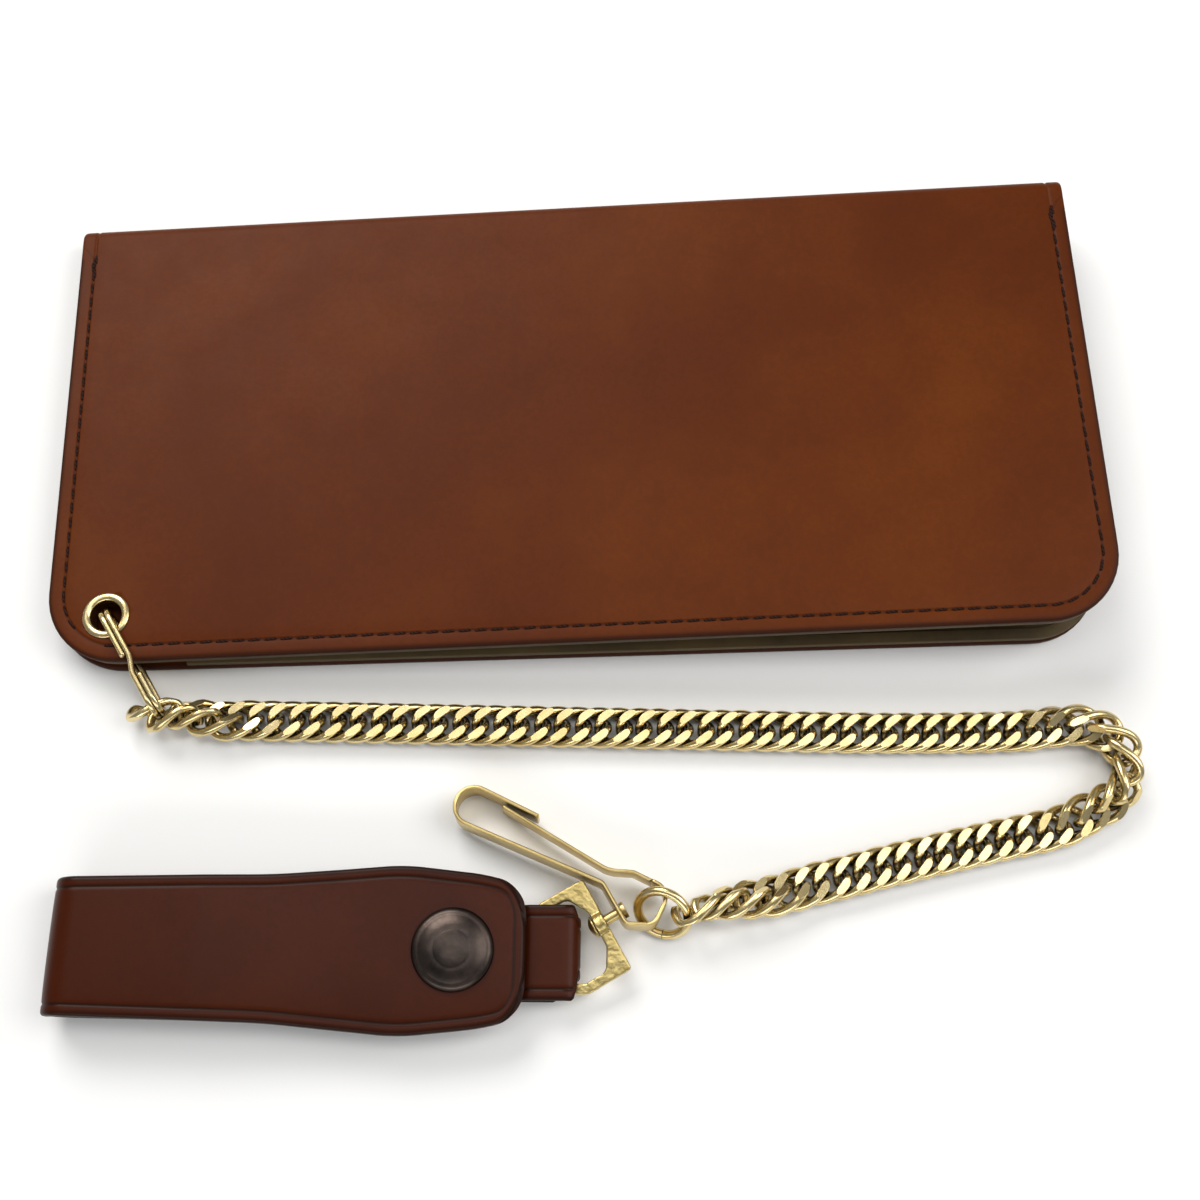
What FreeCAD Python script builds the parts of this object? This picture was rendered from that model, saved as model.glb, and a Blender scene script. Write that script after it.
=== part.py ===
import FreeCAD, Part
import math
import os
from FreeCAD import Matrix, Placement, Rotation, Vector

# Chain wallet: a long folding wallet, a double curb chain and a belt loop that closes with a snap.
# Millimetres. The origin is the middle of the back cover's underside, +X runs along the spine,
# +Y points from the open edge to the spine and +Z points up, through the closed wallet.

# ---- driving dimensions: the wallet -------------------------------------------------------------
LENGTH = 200.0            # along the spine
HEIGHT = 94.0             # from the open edge to the spine
COVER = 1.8               # cover leather
LINING = 1.3              # inner panels
POCKET = 0.9              # card pockets
CORNER = 14.0             # radius of the two open corners
RISE_LEFT = 6.6           # closed thickness at the eyelet's end
RISE_RIGHT = 15.6         # closed thickness at the coin pocket's end
SEAM_INSET = 3.0          # stitch line from the edge
SEAM_END = 40.0           # y where the stitch line stops, just short of the spine
SPINE_WALL = 1.8
STITCH_PITCH = 3.0
STITCH = (2.3, 0.7, 0.36)
EYELET = (-88.5, -38.0)
EYELET_HOLE_R = 2.95
EYELET_BARREL_R = 3.5
EYELET_FLANGE_R = 4.5

# ---- driving dimensions: the chain --------------------------------------------------------------
LINK_WIRE = 1.6
LINK_HALF_LENGTH = 4.7    # centreline
LINK_HALF_WIDTH = 3.1     # centreline
LINK_TWIST = math.radians(55.6)
LINK_POWERS = (2.7, 2.75, 1.03)
LINK_FLAT = 1.93          # half the chain's ground thickness
LINK_GAPS = (3.6, 4.0)    # link to link, in turn
LINK_COUNT = 72
LINKS_PER_SEGMENT = 6
CHAIN_Z = 2.0             # centre height where the chain lies flat
CHAIN_START = (-79.3, -56.3)
CHAIN_START_HEADING = -6.0
BEND_RADIUS = 7.2
CHAIN_ROUTE = [           # (length, turn in degrees) from the wallet to the clip
    (20.0, 3.0), (105.0, 0.0), (35.0, 3.0), (11.0, 0.0),
    (BEND_RADIUS * math.radians(140.0), -140.0), (14.0, -30.0), (52.0, 2.5), (11.2, -6.0)]
TWIST_LENGTH = 40.0       # over which the chain turns over at the bend
END_TWIST_LENGTH = 18.0   # over which it stands up at each end
LINK_CLEAR = 1.84         # centreline distance that neighbouring links settle to

# ---- driving dimensions: split ring, jump ring, clip, D-ring ------------------------------------
SPLIT_RING_LENGTH = 24.0
SPLIT_RING_HEIGHT = 7.0
SPLIT_RING_WIRE = 1.2
SPLIT_RING_WIDTH = 2.1
JUMP_RADIUS = 4.65
JUMP_WIRE = 1.7
JUMP_Z = 4.4
JUMP_TILT = 48.0          # its chain side leans up out of the clip's plane
STRIP = 0.9               # clip strip thickness
STRIP_WIDTH = 5.0
CLIP_ANGLE = -28.2        # direction from the hook to the bulb
CLIP_PITCH = 2.0          # the bulb rests on the jump ring
CLIP_TILT = 4.0
HOOK_Z = 2.85
D_BAR = 17.7
D_THICK = 1.8
D_DROP = 6.5              # degrees that the D-ring slopes down into the strap's fold
D_ANGLE = 27.4            # plan direction of the swivel's axis, clip towards belt loop
RIVET_R = 0.95

# ---- driving dimensions: the belt loop ----------------------------------------------------------
STRAP = 2.2               # leather
STRAP_ANGLE = -2.4
SNAP = (-23.4, -101.2)
LOOP_LEFT = -70.7         # left fold, from the snap's centre along the strap
FLAP_END = 12.6
FOLD_END = 22.1
SNAP_CAP_R = 7.2

TILT = math.degrees(math.atan2(RISE_RIGHT - RISE_LEFT, LENGTH))
RISE_MIDDLE = (RISE_LEFT + RISE_RIGHT) / 2
FRONT = Placement(Vector(0, 0, RISE_MIDDLE), Rotation(Vector(0, 1, 0), -TILT))


# ---- helpers ------------------------------------------------------------------------------------
def export(name, shapes):
    solids = shapes if isinstance(shapes, list) else [shapes]
    shape = solids[0] if len(solids) == 1 else Part.makeCompound(solids)
    shape.exportStep("parts/%s.step" % name)


def placed(shape, placement):
    moved = shape.copy()
    moved.Placement = placement.multiply(moved.Placement)
    return moved


def front(shape):
    """Put a shape drawn under the flat plane z = 0 into the tilted front half."""
    return placed(shape, FRONT)


def bar(a, b, low, high):
    """Box between plan points a and b and heights low and high."""
    return Part.makeBox(b[0] - a[0], b[1] - a[1], high - low, Vector(a[0], a[1], low))


def disc(centre, radius, low, high):
    return Part.makeCylinder(radius, high - low, Vector(centre[0], centre[1], low))


def run_edges(points, radii, offset, closed):
    """Lines and tangent arcs through plan points with rounded corners, moved left by offset."""
    count = len(points)
    corners = range(count) if closed else range(1, count - 1)
    marks = []
    if not closed:
        way = (points[1] - points[0]).normalize()
        marks.append((points[0] + Vector(-way.y, way.x, 0) * offset,))
    for i in corners:
        before = (points[i] - points[i - 1]).normalize()
        after = (points[(i + 1) % count] - points[i]).normalize()
        turn = math.atan2(before.x * after.y - before.y * after.x, before.dot(after))
        if abs(turn) < 1e-6:
            continue
        reach = radii[i] * math.tan(abs(turn) / 2)
        start = points[i] - before * reach
        end = points[i] + after * reach
        side = 1 if turn > 0 else -1
        left = Vector(-before.y, before.x, 0)
        centre = start + left * (side * radii[i])
        middle = centre + (points[i] - centre).normalize() * (radii[i] - side * offset)
        marks.append((start + left * offset, middle, end + Vector(-after.y, after.x, 0) * offset))
    if not closed:
        way = (points[-1] - points[-2]).normalize()
        marks.append((points[-1] + Vector(-way.y, way.x, 0) * offset,))
    edges = []
    for i, mark in enumerate(marks):
        if len(mark) == 3:
            edges.append(Part.Arc(*mark).toShape())
        if i + 1 < len(marks) or closed:
            ahead = marks[(i + 1) % len(marks)][0]
            if mark[-1].distanceToPoint(ahead) > 1e-4:
                edges.append(Part.makeLine(mark[-1], ahead))
    return edges


def plan(points):
    return [Vector(x, y, 0) for x, y in points]


def band(points, radii, thickness, low, high, closed=False):
    """A strip of even thickness along a rounded run, standing from low to high."""
    half = thickness / 2
    run = plan(points)
    if closed:
        loops = [Part.Wire(run_edges(run, radii, side, True)) for side in (half, -half)]
        loops.sort(key=lambda loop: -loop.BoundBox.DiagonalLength)
        face = Part.Face(loops[0]).cut(Part.Face(loops[1]))
    else:
        there = run_edges(run, radii, half, False)
        back = run_edges(run[::-1], radii[::-1], half, False)
        ends = [Part.makeLine(there[-1].Vertexes[-1].Point, back[0].Vertexes[0].Point),
                Part.makeLine(back[-1].Vertexes[-1].Point, there[0].Vertexes[0].Point)]
        face = Part.Face(Part.Wire(there + ends[:1] + back + ends[1:]))
    solid = face.extrude(Vector(0, 0, high - low))
    solid.translate(Vector(0, 0, low))
    return solid.Solids[0] if solid.Solids else solid


def plate(points, radii, low, high):
    """A flat plate with rounded corners."""
    face = Part.Face(Part.Wire(run_edges(plan(points), radii, 0, True)))
    solid = face.extrude(Vector(0, 0, high - low))
    solid.translate(Vector(0, 0, low))
    return solid


# ---- wallet ---------------------------------------------------------------------------------------
def half_outline(inset, top, low, high):
    """Plate with the wallet half's outline, its corners rounded at the open edge."""
    x = LENGTH / 2 - inset
    y = HEIGHT / 2 - inset
    corner = CORNER - inset
    return plate([(-x, -y), (x, -y), (x, top), (-x, top)], [corner, corner, 0.8, 0.8], low, high)


def seam_groove(low, high):
    """The pressed line that the stitches sit in, open towards the spine."""
    return half_outline(SEAM_INSET - 0.5, SEAM_END, low, high).cut(
        half_outline(SEAM_INSET + 0.5, HEIGHT, low - 1, high + 1))


def seam_points(keep):
    """Centre and direction of each stitch along the left, open and right edges."""
    x = LENGTH / 2 - SEAM_INSET
    y = HEIGHT / 2 - SEAM_INSET
    r = CORNER - SEAM_INSET
    side = SEAM_END - (r - y)
    arc = r * math.pi / 2
    bottom = 2 * (x - r)
    total = 2 * side + 2 * arc + bottom
    count = int(total / STITCH_PITCH)
    stitches = []
    for i in range(count):
        s = (i + 0.5) * total / count
        if s < side:
            place = (-x, SEAM_END - s, -90.0)
        elif s < side + arc:
            a = math.pi + (s - side) / r
            place = (r - x + r * math.cos(a), r - y + r * math.sin(a), math.degrees(a) + 90)
        elif s < side + arc + bottom:
            place = (r - x + s - side - arc, -y, 0.0)
        elif s < side + 2 * arc + bottom:
            a = -math.pi / 2 + (s - side - arc - bottom) / r
            place = (x - r + r * math.cos(a), r - y + r * math.sin(a), math.degrees(a) + 90)
        else:
            place = (x, s - side - 2 * arc - bottom + r - y, 90.0)
        if keep(place[0], place[1]):
            stitches.append(place)
    return stitches


def stitch(place, low):
    long, wide, high = STITCH
    solid = Part.makeBox(long, wide, high, Vector(-long / 2, -wide / 2, 0))
    return placed(solid, Placement(Vector(place[0], place[1], low), Rotation(Vector(0, 0, 1), place[2])))


def everywhere(x, y):
    return True


def off_eyelet(x, y):
    return math.hypot(x - EYELET[0], y - EYELET[1]) > EYELET_FLANGE_R + 1.6


def off_relief(x, y):
    return x > RELIEF[0] + 1.5 or y > RELIEF[1] + 1.5


RELIEF = (-74.0, -33.0)   # the back's inner panel stops here, so that the split ring can pass
GROOVE = 0.4
PANEL_TOP = 41.0


def make_back_half():
    cover = half_outline(0, HEIGHT / 2 - 2.0, 0, COVER).cut(seam_groove(-1, GROOVE))
    export("cover_back", cover)
    top = COVER + LINING
    panel = half_outline(0.3, PANEL_TOP, COVER, top).cut(seam_groove(top - GROOVE, top + 1))
    corner = plate([(-110, -60), (RELIEF[0], -60), (RELIEF[0], RELIEF[1]), (-110, RELIEF[1])],
                   [0.5, 0.5, 5.0, 0.5], 0, 9)
    export("back_inner_panel", panel.cut(corner))
    stitches = [stitch(p, 0.02) for p in seam_points(everywhere)]
    stitches += [stitch(p, top - GROOVE + 0.02) for p in seam_points(off_relief)
                 if not (COIN[0] - 0.7 < p[0] and p[1] < COIN[3])]
    export("stitching_back", stitches)


def make_spine():
    """The strip of cover leather between the two halves, narrow at the eyelet's end."""
    x = LENGTH / 2 - 0.2
    low = 0.15
    outline = [Vector(-x, 0, low), Vector(x, 0, low),
               Vector(x, 0, RISE_RIGHT - 0.15), Vector(-x, 0, RISE_LEFT - 0.15)]
    face = Part.Face(Part.makePolygon(outline + outline[:1]))
    wall = face.extrude(Vector(0, -SPINE_WALL, 0))
    wall.translate(Vector(0, HEIGHT / 2, 0))
    export("cover_spine", wall)


CARD_TOPS = (16.0, 4.0, -8.0)
CARD_LEFT, CARD_RIGHT = 3.0, 93.0
CARD_BOTTOM = -42.5
RECEIPT = (-62.0, -3.0, 10.0)


def pocket_panel(left, right, top, low, notch):
    """A card pocket's leather, with a thumb notch in its top edge."""
    panel = plate([(left, CARD_BOTTOM), (right, CARD_BOTTOM), (right, top), (left, top)],
                  [2.0, 2.0, 2.0, 2.0], low, low + POCKET)
    if not notch:
        return panel
    return panel.cut(disc(((left + right) / 2, top + 7.0), 12.0, low - 1, low + POCKET + 1))


def make_front_half():
    hole = disc(EYELET, EYELET_BARREL_R, -9, 9)
    cover = half_outline(0, HEIGHT / 2 - 2.0, -COVER, 0).cut(seam_groove(-GROOVE, 1)).cut(hole)
    export("cover_front", front(cover))
    under = -COVER - LINING
    panel = half_outline(0.3, PANEL_TOP, under, -COVER).cut(seam_groove(under - 1, under + GROOVE))
    export("front_inner_panel", front(panel.cut(hole)))
    stitches = [stitch(p, -STITCH[2] - 0.02) for p in seam_points(off_eyelet)]
    stitches += [stitch(p, under + GROOVE - STITCH[2] - 0.02) for p in seam_points(off_eyelet)]
    export("stitching_front", [front(s) for s in stitches])
    pocket_stitches = []
    for i, top in enumerate(CARD_TOPS):
        low = under - POCKET * (i + 1)
        panel = pocket_panel(CARD_LEFT, CARD_RIGHT, top, low, True)
        export("card_pocket_%d" % (i + 1), front(panel))
    receipt = pocket_panel(RECEIPT[0], RECEIPT[1], RECEIPT[2], under - POCKET, False)
    export("receipt_pocket", front(receipt))
    lowest = under - POCKET * len(CARD_TOPS)
    for side in (CARD_LEFT + 2.0, CARD_RIGHT - 2.0):
        for i in range(10):
            place = (side, CARD_BOTTOM + 4.0 + i * STITCH_PITCH, 90.0)
            pocket_stitches.append(stitch(place, lowest - STITCH[2]))
    for side in (RECEIPT[0] + 2.0, RECEIPT[1] - 2.0):
        for i in range(15):
            place = (side, CARD_BOTTOM + 4.0 + i * STITCH_PITCH, 90.0)
            pocket_stitches.append(stitch(place, under - POCKET - STITCH[2]))
    export("stitching_pockets", [front(s) for s in pocket_stitches])


COIN = (16.0, -43.0, 95.0, 37.0)     # left, bottom, right, top of the coin pocket
COIN_TOP = -6.2                      # upper face, measured in the front half's tilted frame
COIN_LEATHER = 1.2
ZIP_Y = 27.0
ZIP_LEFT, ZIP_RIGHT = 24.0, 90.0
ZIP_SLOT = 6.4
TAPE = 0.5
TOOTH_PITCH = 1.5
TOOTH = (0.9, 2.2, 1.2)
TOOTH_GAP = 0.55                     # half the free lane that the slider's post runs in


def make_coin_pocket():
    left, bottom, right, top = COIN
    box = [(left, bottom), (right, bottom), (right, top), (left, top)]
    panel = plate(box, [3.0] * 4, COIN_TOP - COIN_LEATHER, COIN_TOP)
    slot = plate([(ZIP_LEFT - 2, ZIP_Y - ZIP_SLOT / 2), (ZIP_RIGHT + 2, ZIP_Y - ZIP_SLOT / 2),
                  (ZIP_RIGHT + 2, ZIP_Y + ZIP_SLOT / 2), (ZIP_LEFT - 2, ZIP_Y + ZIP_SLOT / 2)],
                 [1.5] * 4, COIN_TOP - 9, COIN_TOP + 1)
    export("coin_pocket_front", front(panel.cut(slot)))
    frame = plate(box, [3.0] * 4, COVER + LINING, 30).cut(
        plate([(left + 1, bottom + 1), (right - 1, bottom + 1), (right - 1, top - 1),
               (left + 1, top - 1)], [2.0] * 4, 0, 40))
    above = Part.makeBox(300, 200, 60, Vector(-150, -100, COIN_TOP - COIN_LEATHER))
    export("coin_pocket_gusset", frame.cut(front(above)))
    under = COIN_TOP - COIN_LEATHER
    for name, side in (("upper", 1), ("lower", -1)):
        inner = ZIP_Y + side * 1.4
        outer = ZIP_Y + side * 7.5
        tape = bar((ZIP_LEFT - 3, min(inner, outer)), (ZIP_RIGHT + 3, max(inner, outer)),
                   under - TAPE, under)
        export("zipper_tape_" + name, front(tape))
        long, wide, high = TOOTH
        shift = 0.0 if side > 0 else TOOTH_PITCH / 2
        teeth = []
        count = int((ZIP_RIGHT - ZIP_LEFT) / TOOTH_PITCH)
        near = ZIP_Y + side * TOOTH_GAP
        far = near + side * wide
        for i in range(count):
            x = ZIP_LEFT + shift + i * TOOTH_PITCH
            tooth = bar((x, min(near, far)), (x + long, max(near, far)), under, under + high)
            teeth.append(front(tooth))
        export("zipper_teeth_" + name, teeth)
    stops = [bar((x, ZIP_Y - 2.2), (x + 1.2, ZIP_Y + 2.2), under, under + 1.4)
             for x in (ZIP_LEFT - 1.7, ZIP_RIGHT + 0.5)]
    export("zipper_stops", [front(s) for s in stops])


SLIDER_X = 85.0
SLIDER_LENGTH = 7.0
SLIDER_WIDTH = 5.6
BAIL_X = SLIDER_X - 0.5
PULL_LENGTH = 15.0
PULL_Z = -4.35                       # height of the pull's hinge, in the front half's frame


def make_slider():
    under = COIN_TOP - COIN_LEATHER
    low = under - TAPE - 0.25
    high = under + TOOTH[2] + 0.2
    x0, x1 = SLIDER_X - SLIDER_LENGTH / 2, SLIDER_X + SLIDER_LENGTH / 2
    y0, y1 = ZIP_Y - SLIDER_WIDTH / 2, ZIP_Y + SLIDER_WIDTH / 2
    outline = [(x0, y0 + 0.8), (x0 + 2, y0), (x1, y0), (x1, y1), (x0 + 2, y1), (x0, y1 - 0.8)]
    body = plate(outline, [0.5] * 6, high, high + 0.7)
    body = body.fuse(plate(outline, [0.5] * 6, low - 0.6, low))
    body = body.fuse(bar((x1 - 2.6, ZIP_Y - 0.35), (x1 - 0.6, ZIP_Y + 0.35), low - 0.1, high + 0.1))
    bail = band([(BAIL_X - 1.8, high + 0.5), (BAIL_X - 1.8, PULL_Z + 0.75),
                 (BAIL_X + 1.8, PULL_Z + 0.75), (BAIL_X + 1.8, high + 0.5)],
                [0.5, 0.6, 0.6, 0.5], 0.6, -0.7, 0.7)
    bail.rotate(Vector(0, 0, 0), Vector(1, 0, 0), 90)
    bail.translate(Vector(0, ZIP_Y, 0))
    export("zipper_slider", front(body.fuse(bail).removeSplitter()))
    pull = plate([(BAIL_X - PULL_LENGTH, ZIP_Y - 2.2), (BAIL_X + 1.2, ZIP_Y - 2.2),
                  (BAIL_X + 1.2, ZIP_Y + 2.2), (BAIL_X - PULL_LENGTH, ZIP_Y + 2.2)],
                 [1.8, 1.0, 1.0, 1.8], PULL_Z - 0.35, PULL_Z + 0.3)
    window = bar((BAIL_X - 2.6, ZIP_Y - 1.0), (BAIL_X + 0.2, ZIP_Y + 1.0), -9, 0)
    eye = disc((BAIL_X - PULL_LENGTH + 2.6, ZIP_Y), 1.2, -9, 0)
    export("zipper_pull", front(pull.cut(window).cut(eye)))


def make_eyelet():
    """Rolled brass eyelet through the front half, closed over a washer inside."""
    under = -COVER - LINING
    barrel = disc(EYELET, EYELET_BARREL_R, under - 0.3, 0.5).cut(disc(EYELET, EYELET_HOLE_R, -9, 9))
    rim = disc(EYELET, EYELET_FLANGE_R, 0, 0.5).cut(disc(EYELET, EYELET_BARREL_R, -9, 9))
    edge = Part.makeTorus(EYELET_FLANGE_R - 0.25, 0.25, Vector(EYELET[0], EYELET[1], 0.25))
    export("eyelet", front(barrel.fuse(rim).fuse(edge).removeSplitter()))
    washer = disc(EYELET, EYELET_FLANGE_R, under - 0.3, under).cut(disc(EYELET, EYELET_BARREL_R, -9, 9))
    export("eyelet_washer", front(washer))


# ---- chain ----------------------------------------------------------------------------------------
def link_curve(t):
    """A point on a link's centreline: a rounded ring whose two ends are twisted opposite ways."""
    px, py, pt = LINK_POWERS
    u = math.copysign(abs(math.cos(t)) ** (2 / px), math.cos(t))
    r = LINK_HALF_WIDTH * math.copysign(abs(math.sin(t)) ** (2 / py), math.sin(t))
    turn = -LINK_TWIST * math.copysign(abs(u) ** pt, u)
    return Vector(LINK_HALF_LENGTH * u, r * math.cos(turn), r * math.sin(turn))


def even_points(count, fine=2400):
    """Points on the link's centreline, evenly spaced along it."""
    dense = [link_curve(2 * math.pi * i / fine) for i in range(fine)]
    reach = [0.0]
    for i in range(fine):
        reach.append(reach[-1] + dense[i].distanceToPoint(dense[(i + 1) % fine]))
    points = []
    k = 0
    for i in range(count):
        while reach[k] < reach[-1] * i / count:
            k += 1
        points.append(dense[k % fine])
    return points


def link_solid():
    """One link: round wire swept round the centreline, then ground flat above and below."""
    along, around = 40, 12
    points = even_points(along)
    wire = LINK_WIRE / 2 * 3 / (2 + math.cos(2 * math.pi / around))
    poles = []
    for i, point in enumerate(points):
        way = (points[(i + 1) % along] - points[i - 1]).normalize()
        out = Vector(point.x, point.y, point.z).normalize()
        out = (out - way * out.dot(way)).normalize()
        side = way.cross(out)
        ring = []
        for j in range(around):
            a = 2 * math.pi * j / around
            ring.append(point + out * (wire * math.cos(a)) + side * (wire * math.sin(a)))
        poles.append(ring)
    surface = Part.BSplineSurface()
    surface.buildFromPolesMultsKnots(poles, [1] * (along + 1), [1] * (around + 1),
                                     list(range(along + 1)), list(range(around + 1)),
                                     True, True, 3, 3)
    solid = Part.Solid(Part.Shell([surface.toShape()]))
    if solid.Volume < 0:
        solid.reverse()
    keep = Part.makeBox(20, 20, 2 * LINK_FLAT, Vector(-10, -10, -LINK_FLAT))
    return solid.common(keep).Solids[0]


def smooth(x):
    x = min(max(x, 0.0), 1.0)
    return x * x * (3 - 2 * x)


def route_at(s):
    """Plan position and heading of the chain's centreline, s along it."""
    x, y = CHAIN_START
    heading = math.radians(CHAIN_START_HEADING)
    for i, (length, turn) in enumerate(CHAIN_ROUTE):
        step = s if i == len(CHAIN_ROUTE) - 1 else min(s, length)
        bend = math.radians(turn) / length
        if bend == 0:
            x += step * math.cos(heading)
            y += step * math.sin(heading)
        else:
            x += (math.sin(heading + bend * step) - math.sin(heading)) / bend
            y -= (math.cos(heading + bend * step) - math.cos(heading)) / bend
        heading += bend * step
        s -= step
        if s <= 0:
            break
    return x, y, heading


BEND_MIDDLE = sum(length for length, turn in CHAIN_ROUTE[:4]) + CHAIN_ROUTE[4][0] / 2
ROUTE_LENGTH = sum(length for length, turn in CHAIN_ROUTE)


def link_places():
    """Distance of each link along the route, a little closer together round the bend."""
    places = []
    s = 0.0
    for i in range(LINK_COUNT):
        places.append(s)
        crowd = 1 - 0.08 * math.exp(-((s - BEND_MIDDLE) / 14.0) ** 4)
        s += LINK_GAPS[i % 2] * crowd
    return places


def link_pose(s):
    """Centre and rotation of the link at s: flat, but on edge at both ends and round the bend."""
    x, y, heading = route_at(s)
    roll = -math.pi / 2 + math.pi / 2 * smooth(s / END_TWIST_LENGTH)
    roll += math.pi * smooth((s - BEND_MIDDLE - 2.0) / TWIST_LENGTH + 0.5)
    roll += math.pi / 2 * smooth((s - ROUTE_LENGTH) / END_TWIST_LENGTH + 1)
    z = CHAIN_Z + 2.05 * abs(math.sin(roll)) + 0.35 * abs(math.sin(2 * roll))
    turn = Rotation(Vector(0, 0, 1), math.degrees(heading))
    return Vector(x, y, z), turn.multiply(Rotation(Vector(1, 0, 0), math.degrees(roll)))


def settle(poses, free, fixed, rounds=90):
    """Let the links in free push each other, and the rings they hang on, until no wires touch.

    fixed lists (links, points): the links near a ring and the points of that ring's centreline."""
    sample = even_points(32)
    centres = [[c.x, c.y, c.z] for c, _ in poses]
    turns = [Rotation(r) for _, r in poses]
    pairs = [(i, i + k) for i in range(len(poses)) for k in (1, 2, 3, 4)
             if i + k < len(poses) and (i in free or i + k in free)]
    used = sorted({i for pair in pairs for i in pair})
    for _ in range(rounds):
        arms = {}
        for i in used:
            arms[i] = [tuple(turns[i].multVec(p)) for p in sample]
        shift = {i: [0.0] * 6 for i in used}
        hits = {i: 0 for i in used}
        for i, j in pairs:
            ci, cj = centres[i], centres[j]
            dx, dy, dz = ci[0] - cj[0], ci[1] - cj[1], ci[2] - cj[2]
            for a in arms[i]:
                ax, ay, az = a[0] + dx, a[1] + dy, a[2] + dz
                for b in arms[j]:
                    x = ax - b[0]
                    y = ay - b[1]
                    z = az - b[2]
                    d2 = x * x + y * y + z * z
                    if d2 < LINK_CLEAR * LINK_CLEAR:
                        d = math.sqrt(d2)
                        f = (LINK_CLEAR - d) / d
                        push(shift[i], a, (x * f, y * f, z * f), 1)
                        push(shift[j], b, (x * f, y * f, z * f), -1)
                        hits[i] += 1
                        hits[j] += 1
        for near, points in fixed:
            for i in near:
                cx, cy, cz = centres[i]
                for a in arms[i]:
                    for b in points:
                        x = a[0] + cx - b[0]
                        y = a[1] + cy - b[1]
                        z = a[2] + cz - b[2]
                        d2 = x * x + y * y + z * z
                        if d2 < LINK_CLEAR * LINK_CLEAR:
                            d = math.sqrt(d2)
                            f = (LINK_CLEAR - d) / d
                            push(shift[i], a, (x * f, y * f, z * f), 1)
                            hits[i] += 1
        for i in used:
            if hits[i] and i in free:
                share = 0.5 / hits[i]
                for k in range(3):
                    centres[i][k] += share * shift[i][k]
                turn = Vector(*shift[i][3:]) * (share / 14.0)
                if turn.Length > 1e-9:
                    turns[i] = Rotation(turn, math.degrees(turn.Length)).multiply(turns[i])
    return [(Vector(*centres[i]), turns[i]) for i in range(len(poses))]


def push(total, arm, force, sign):
    """Add a force at the end of an arm, and its moment, to a link's running total."""
    fx, fy, fz = force
    total[0] += sign * fx
    total[1] += sign * fy
    total[2] += sign * fz
    total[3] += sign * (arm[1] * fz - arm[2] * fy)
    total[4] += sign * (arm[2] * fx - arm[0] * fz)
    total[5] += sign * (arm[0] * fy - arm[1] * fx)


def make_chain():
    link = link_solid()
    poses = [link_pose(s) for s in link_places()]
    free = set(range(0, 9)) | set(range(40, 58)) | set(range(LINK_COUNT - 9, LINK_COUNT))
    jump = jump_placement()
    circle = [jump.multVec(Vector(JUMP_RADIUS * math.cos(a), JUMP_RADIUS * math.sin(a), 0))
              for a in (math.radians(7.5 * i) for i in range(48))]
    last = range(LINK_COUNT - 3, LINK_COUNT)
    poses = settle(poses, free, [(range(3), split_ring_points()), (last, circle)])
    links = [placed(link, Placement(centre, turn)) for centre, turn in poses]
    for k in range(LINK_COUNT // LINKS_PER_SEGMENT):
        first = k * LINKS_PER_SEGMENT
        export("chain_%02d" % (k + 1), links[first:first + LINKS_PER_SEGMENT])
    return poses


# ---- split ring -----------------------------------------------------------------------------------
def ring_frame():
    """Frame of the split ring: X from the eyelet towards the chain, Y up, Z along the ring's axis."""
    x, y, _ = route_at(0)
    way = Vector(x + 1.6 - EYELET[0], y - EYELET[1], 0).normalize()
    up = Vector(0, 0, 1)
    side = way.cross(up)
    matrix = Matrix(way.x, up.x, side.x, EYELET[0], way.y, up.y, side.y, EYELET[1],
                    way.z, up.z, side.z, 0, 0, 0, 0, 1)
    return Placement(matrix)


SPLIT_RING_LOW = 2.75                # centre height of its lower run at the eyelet
SPLIT_RING_SLOPE = 1.6               # degrees, rising towards the chain


SPLIT_RING_LEFT = -1.4               # its left end, from the eyelet's centre


def split_ring_place():
    slope = Placement(Vector(0, SPLIT_RING_LOW, 0), Rotation(Vector(0, 0, 1), SPLIT_RING_SLOPE))
    return ring_frame().multiply(slope)


def split_ring_points():
    """Points along the centrelines of the two coils near the chain."""
    half = SPLIT_RING_WIRE / 2
    right = SPLIT_RING_LEFT + SPLIT_RING_LENGTH - half
    high = SPLIT_RING_HEIGHT - SPLIT_RING_WIRE
    r = high / 2
    place = split_ring_place()
    run = [(right - r - 6.0 + 0.5 * i, level) for i in range(12) for level in (0.0, high)]
    run += [(right - r + r * math.sin(a), r - r * math.cos(a))
            for a in (math.radians(10.0 * i) for i in range(19))]
    return [place.multVec(Vector(x, y, side * SPLIT_RING_WIDTH / 4)) for x, y in run for side in (-1, 1)]


def make_split_ring():
    """A flattened key ring of two coils side by side, with the two coil ends stepped off."""
    half = SPLIT_RING_WIRE / 2
    left, right = SPLIT_RING_LEFT + half, SPLIT_RING_LEFT + SPLIT_RING_LENGTH - half
    high = SPLIT_RING_HEIGHT - SPLIT_RING_WIRE
    r = high / 2 - 0.01
    loop = [(left, 0), (right, 0), (right, high), (left, high)]
    side = SPLIT_RING_WIDTH / 2
    ring = band(loop, [r] * 4, SPLIT_RING_WIRE, -side, side, closed=True)
    groove = 0.12
    for level in (high + half, -half):
        ring = ring.cut(Part.makeBox(40, 2 * groove, 0.24, Vector(-10, level - groove, -0.12)))
    step = Part.makeBox(right - 12.0, 1.0, side, Vector(12.0, high + half - 0.35, 0.15))
    export("split_ring", placed(ring.cut(step), split_ring_place()))


# ---- jump ring, clip, swivel and D-ring -------------------------------------------------------------
def in_frame(origin, u, v):
    """Placement whose X is u and whose Y is v."""
    w = u.cross(v)
    return Placement(Matrix(u.x, v.x, w.x, origin.x, u.y, v.y, w.y, origin.y,
                            u.z, v.z, w.z, origin.z, 0, 0, 0, 1))


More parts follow.
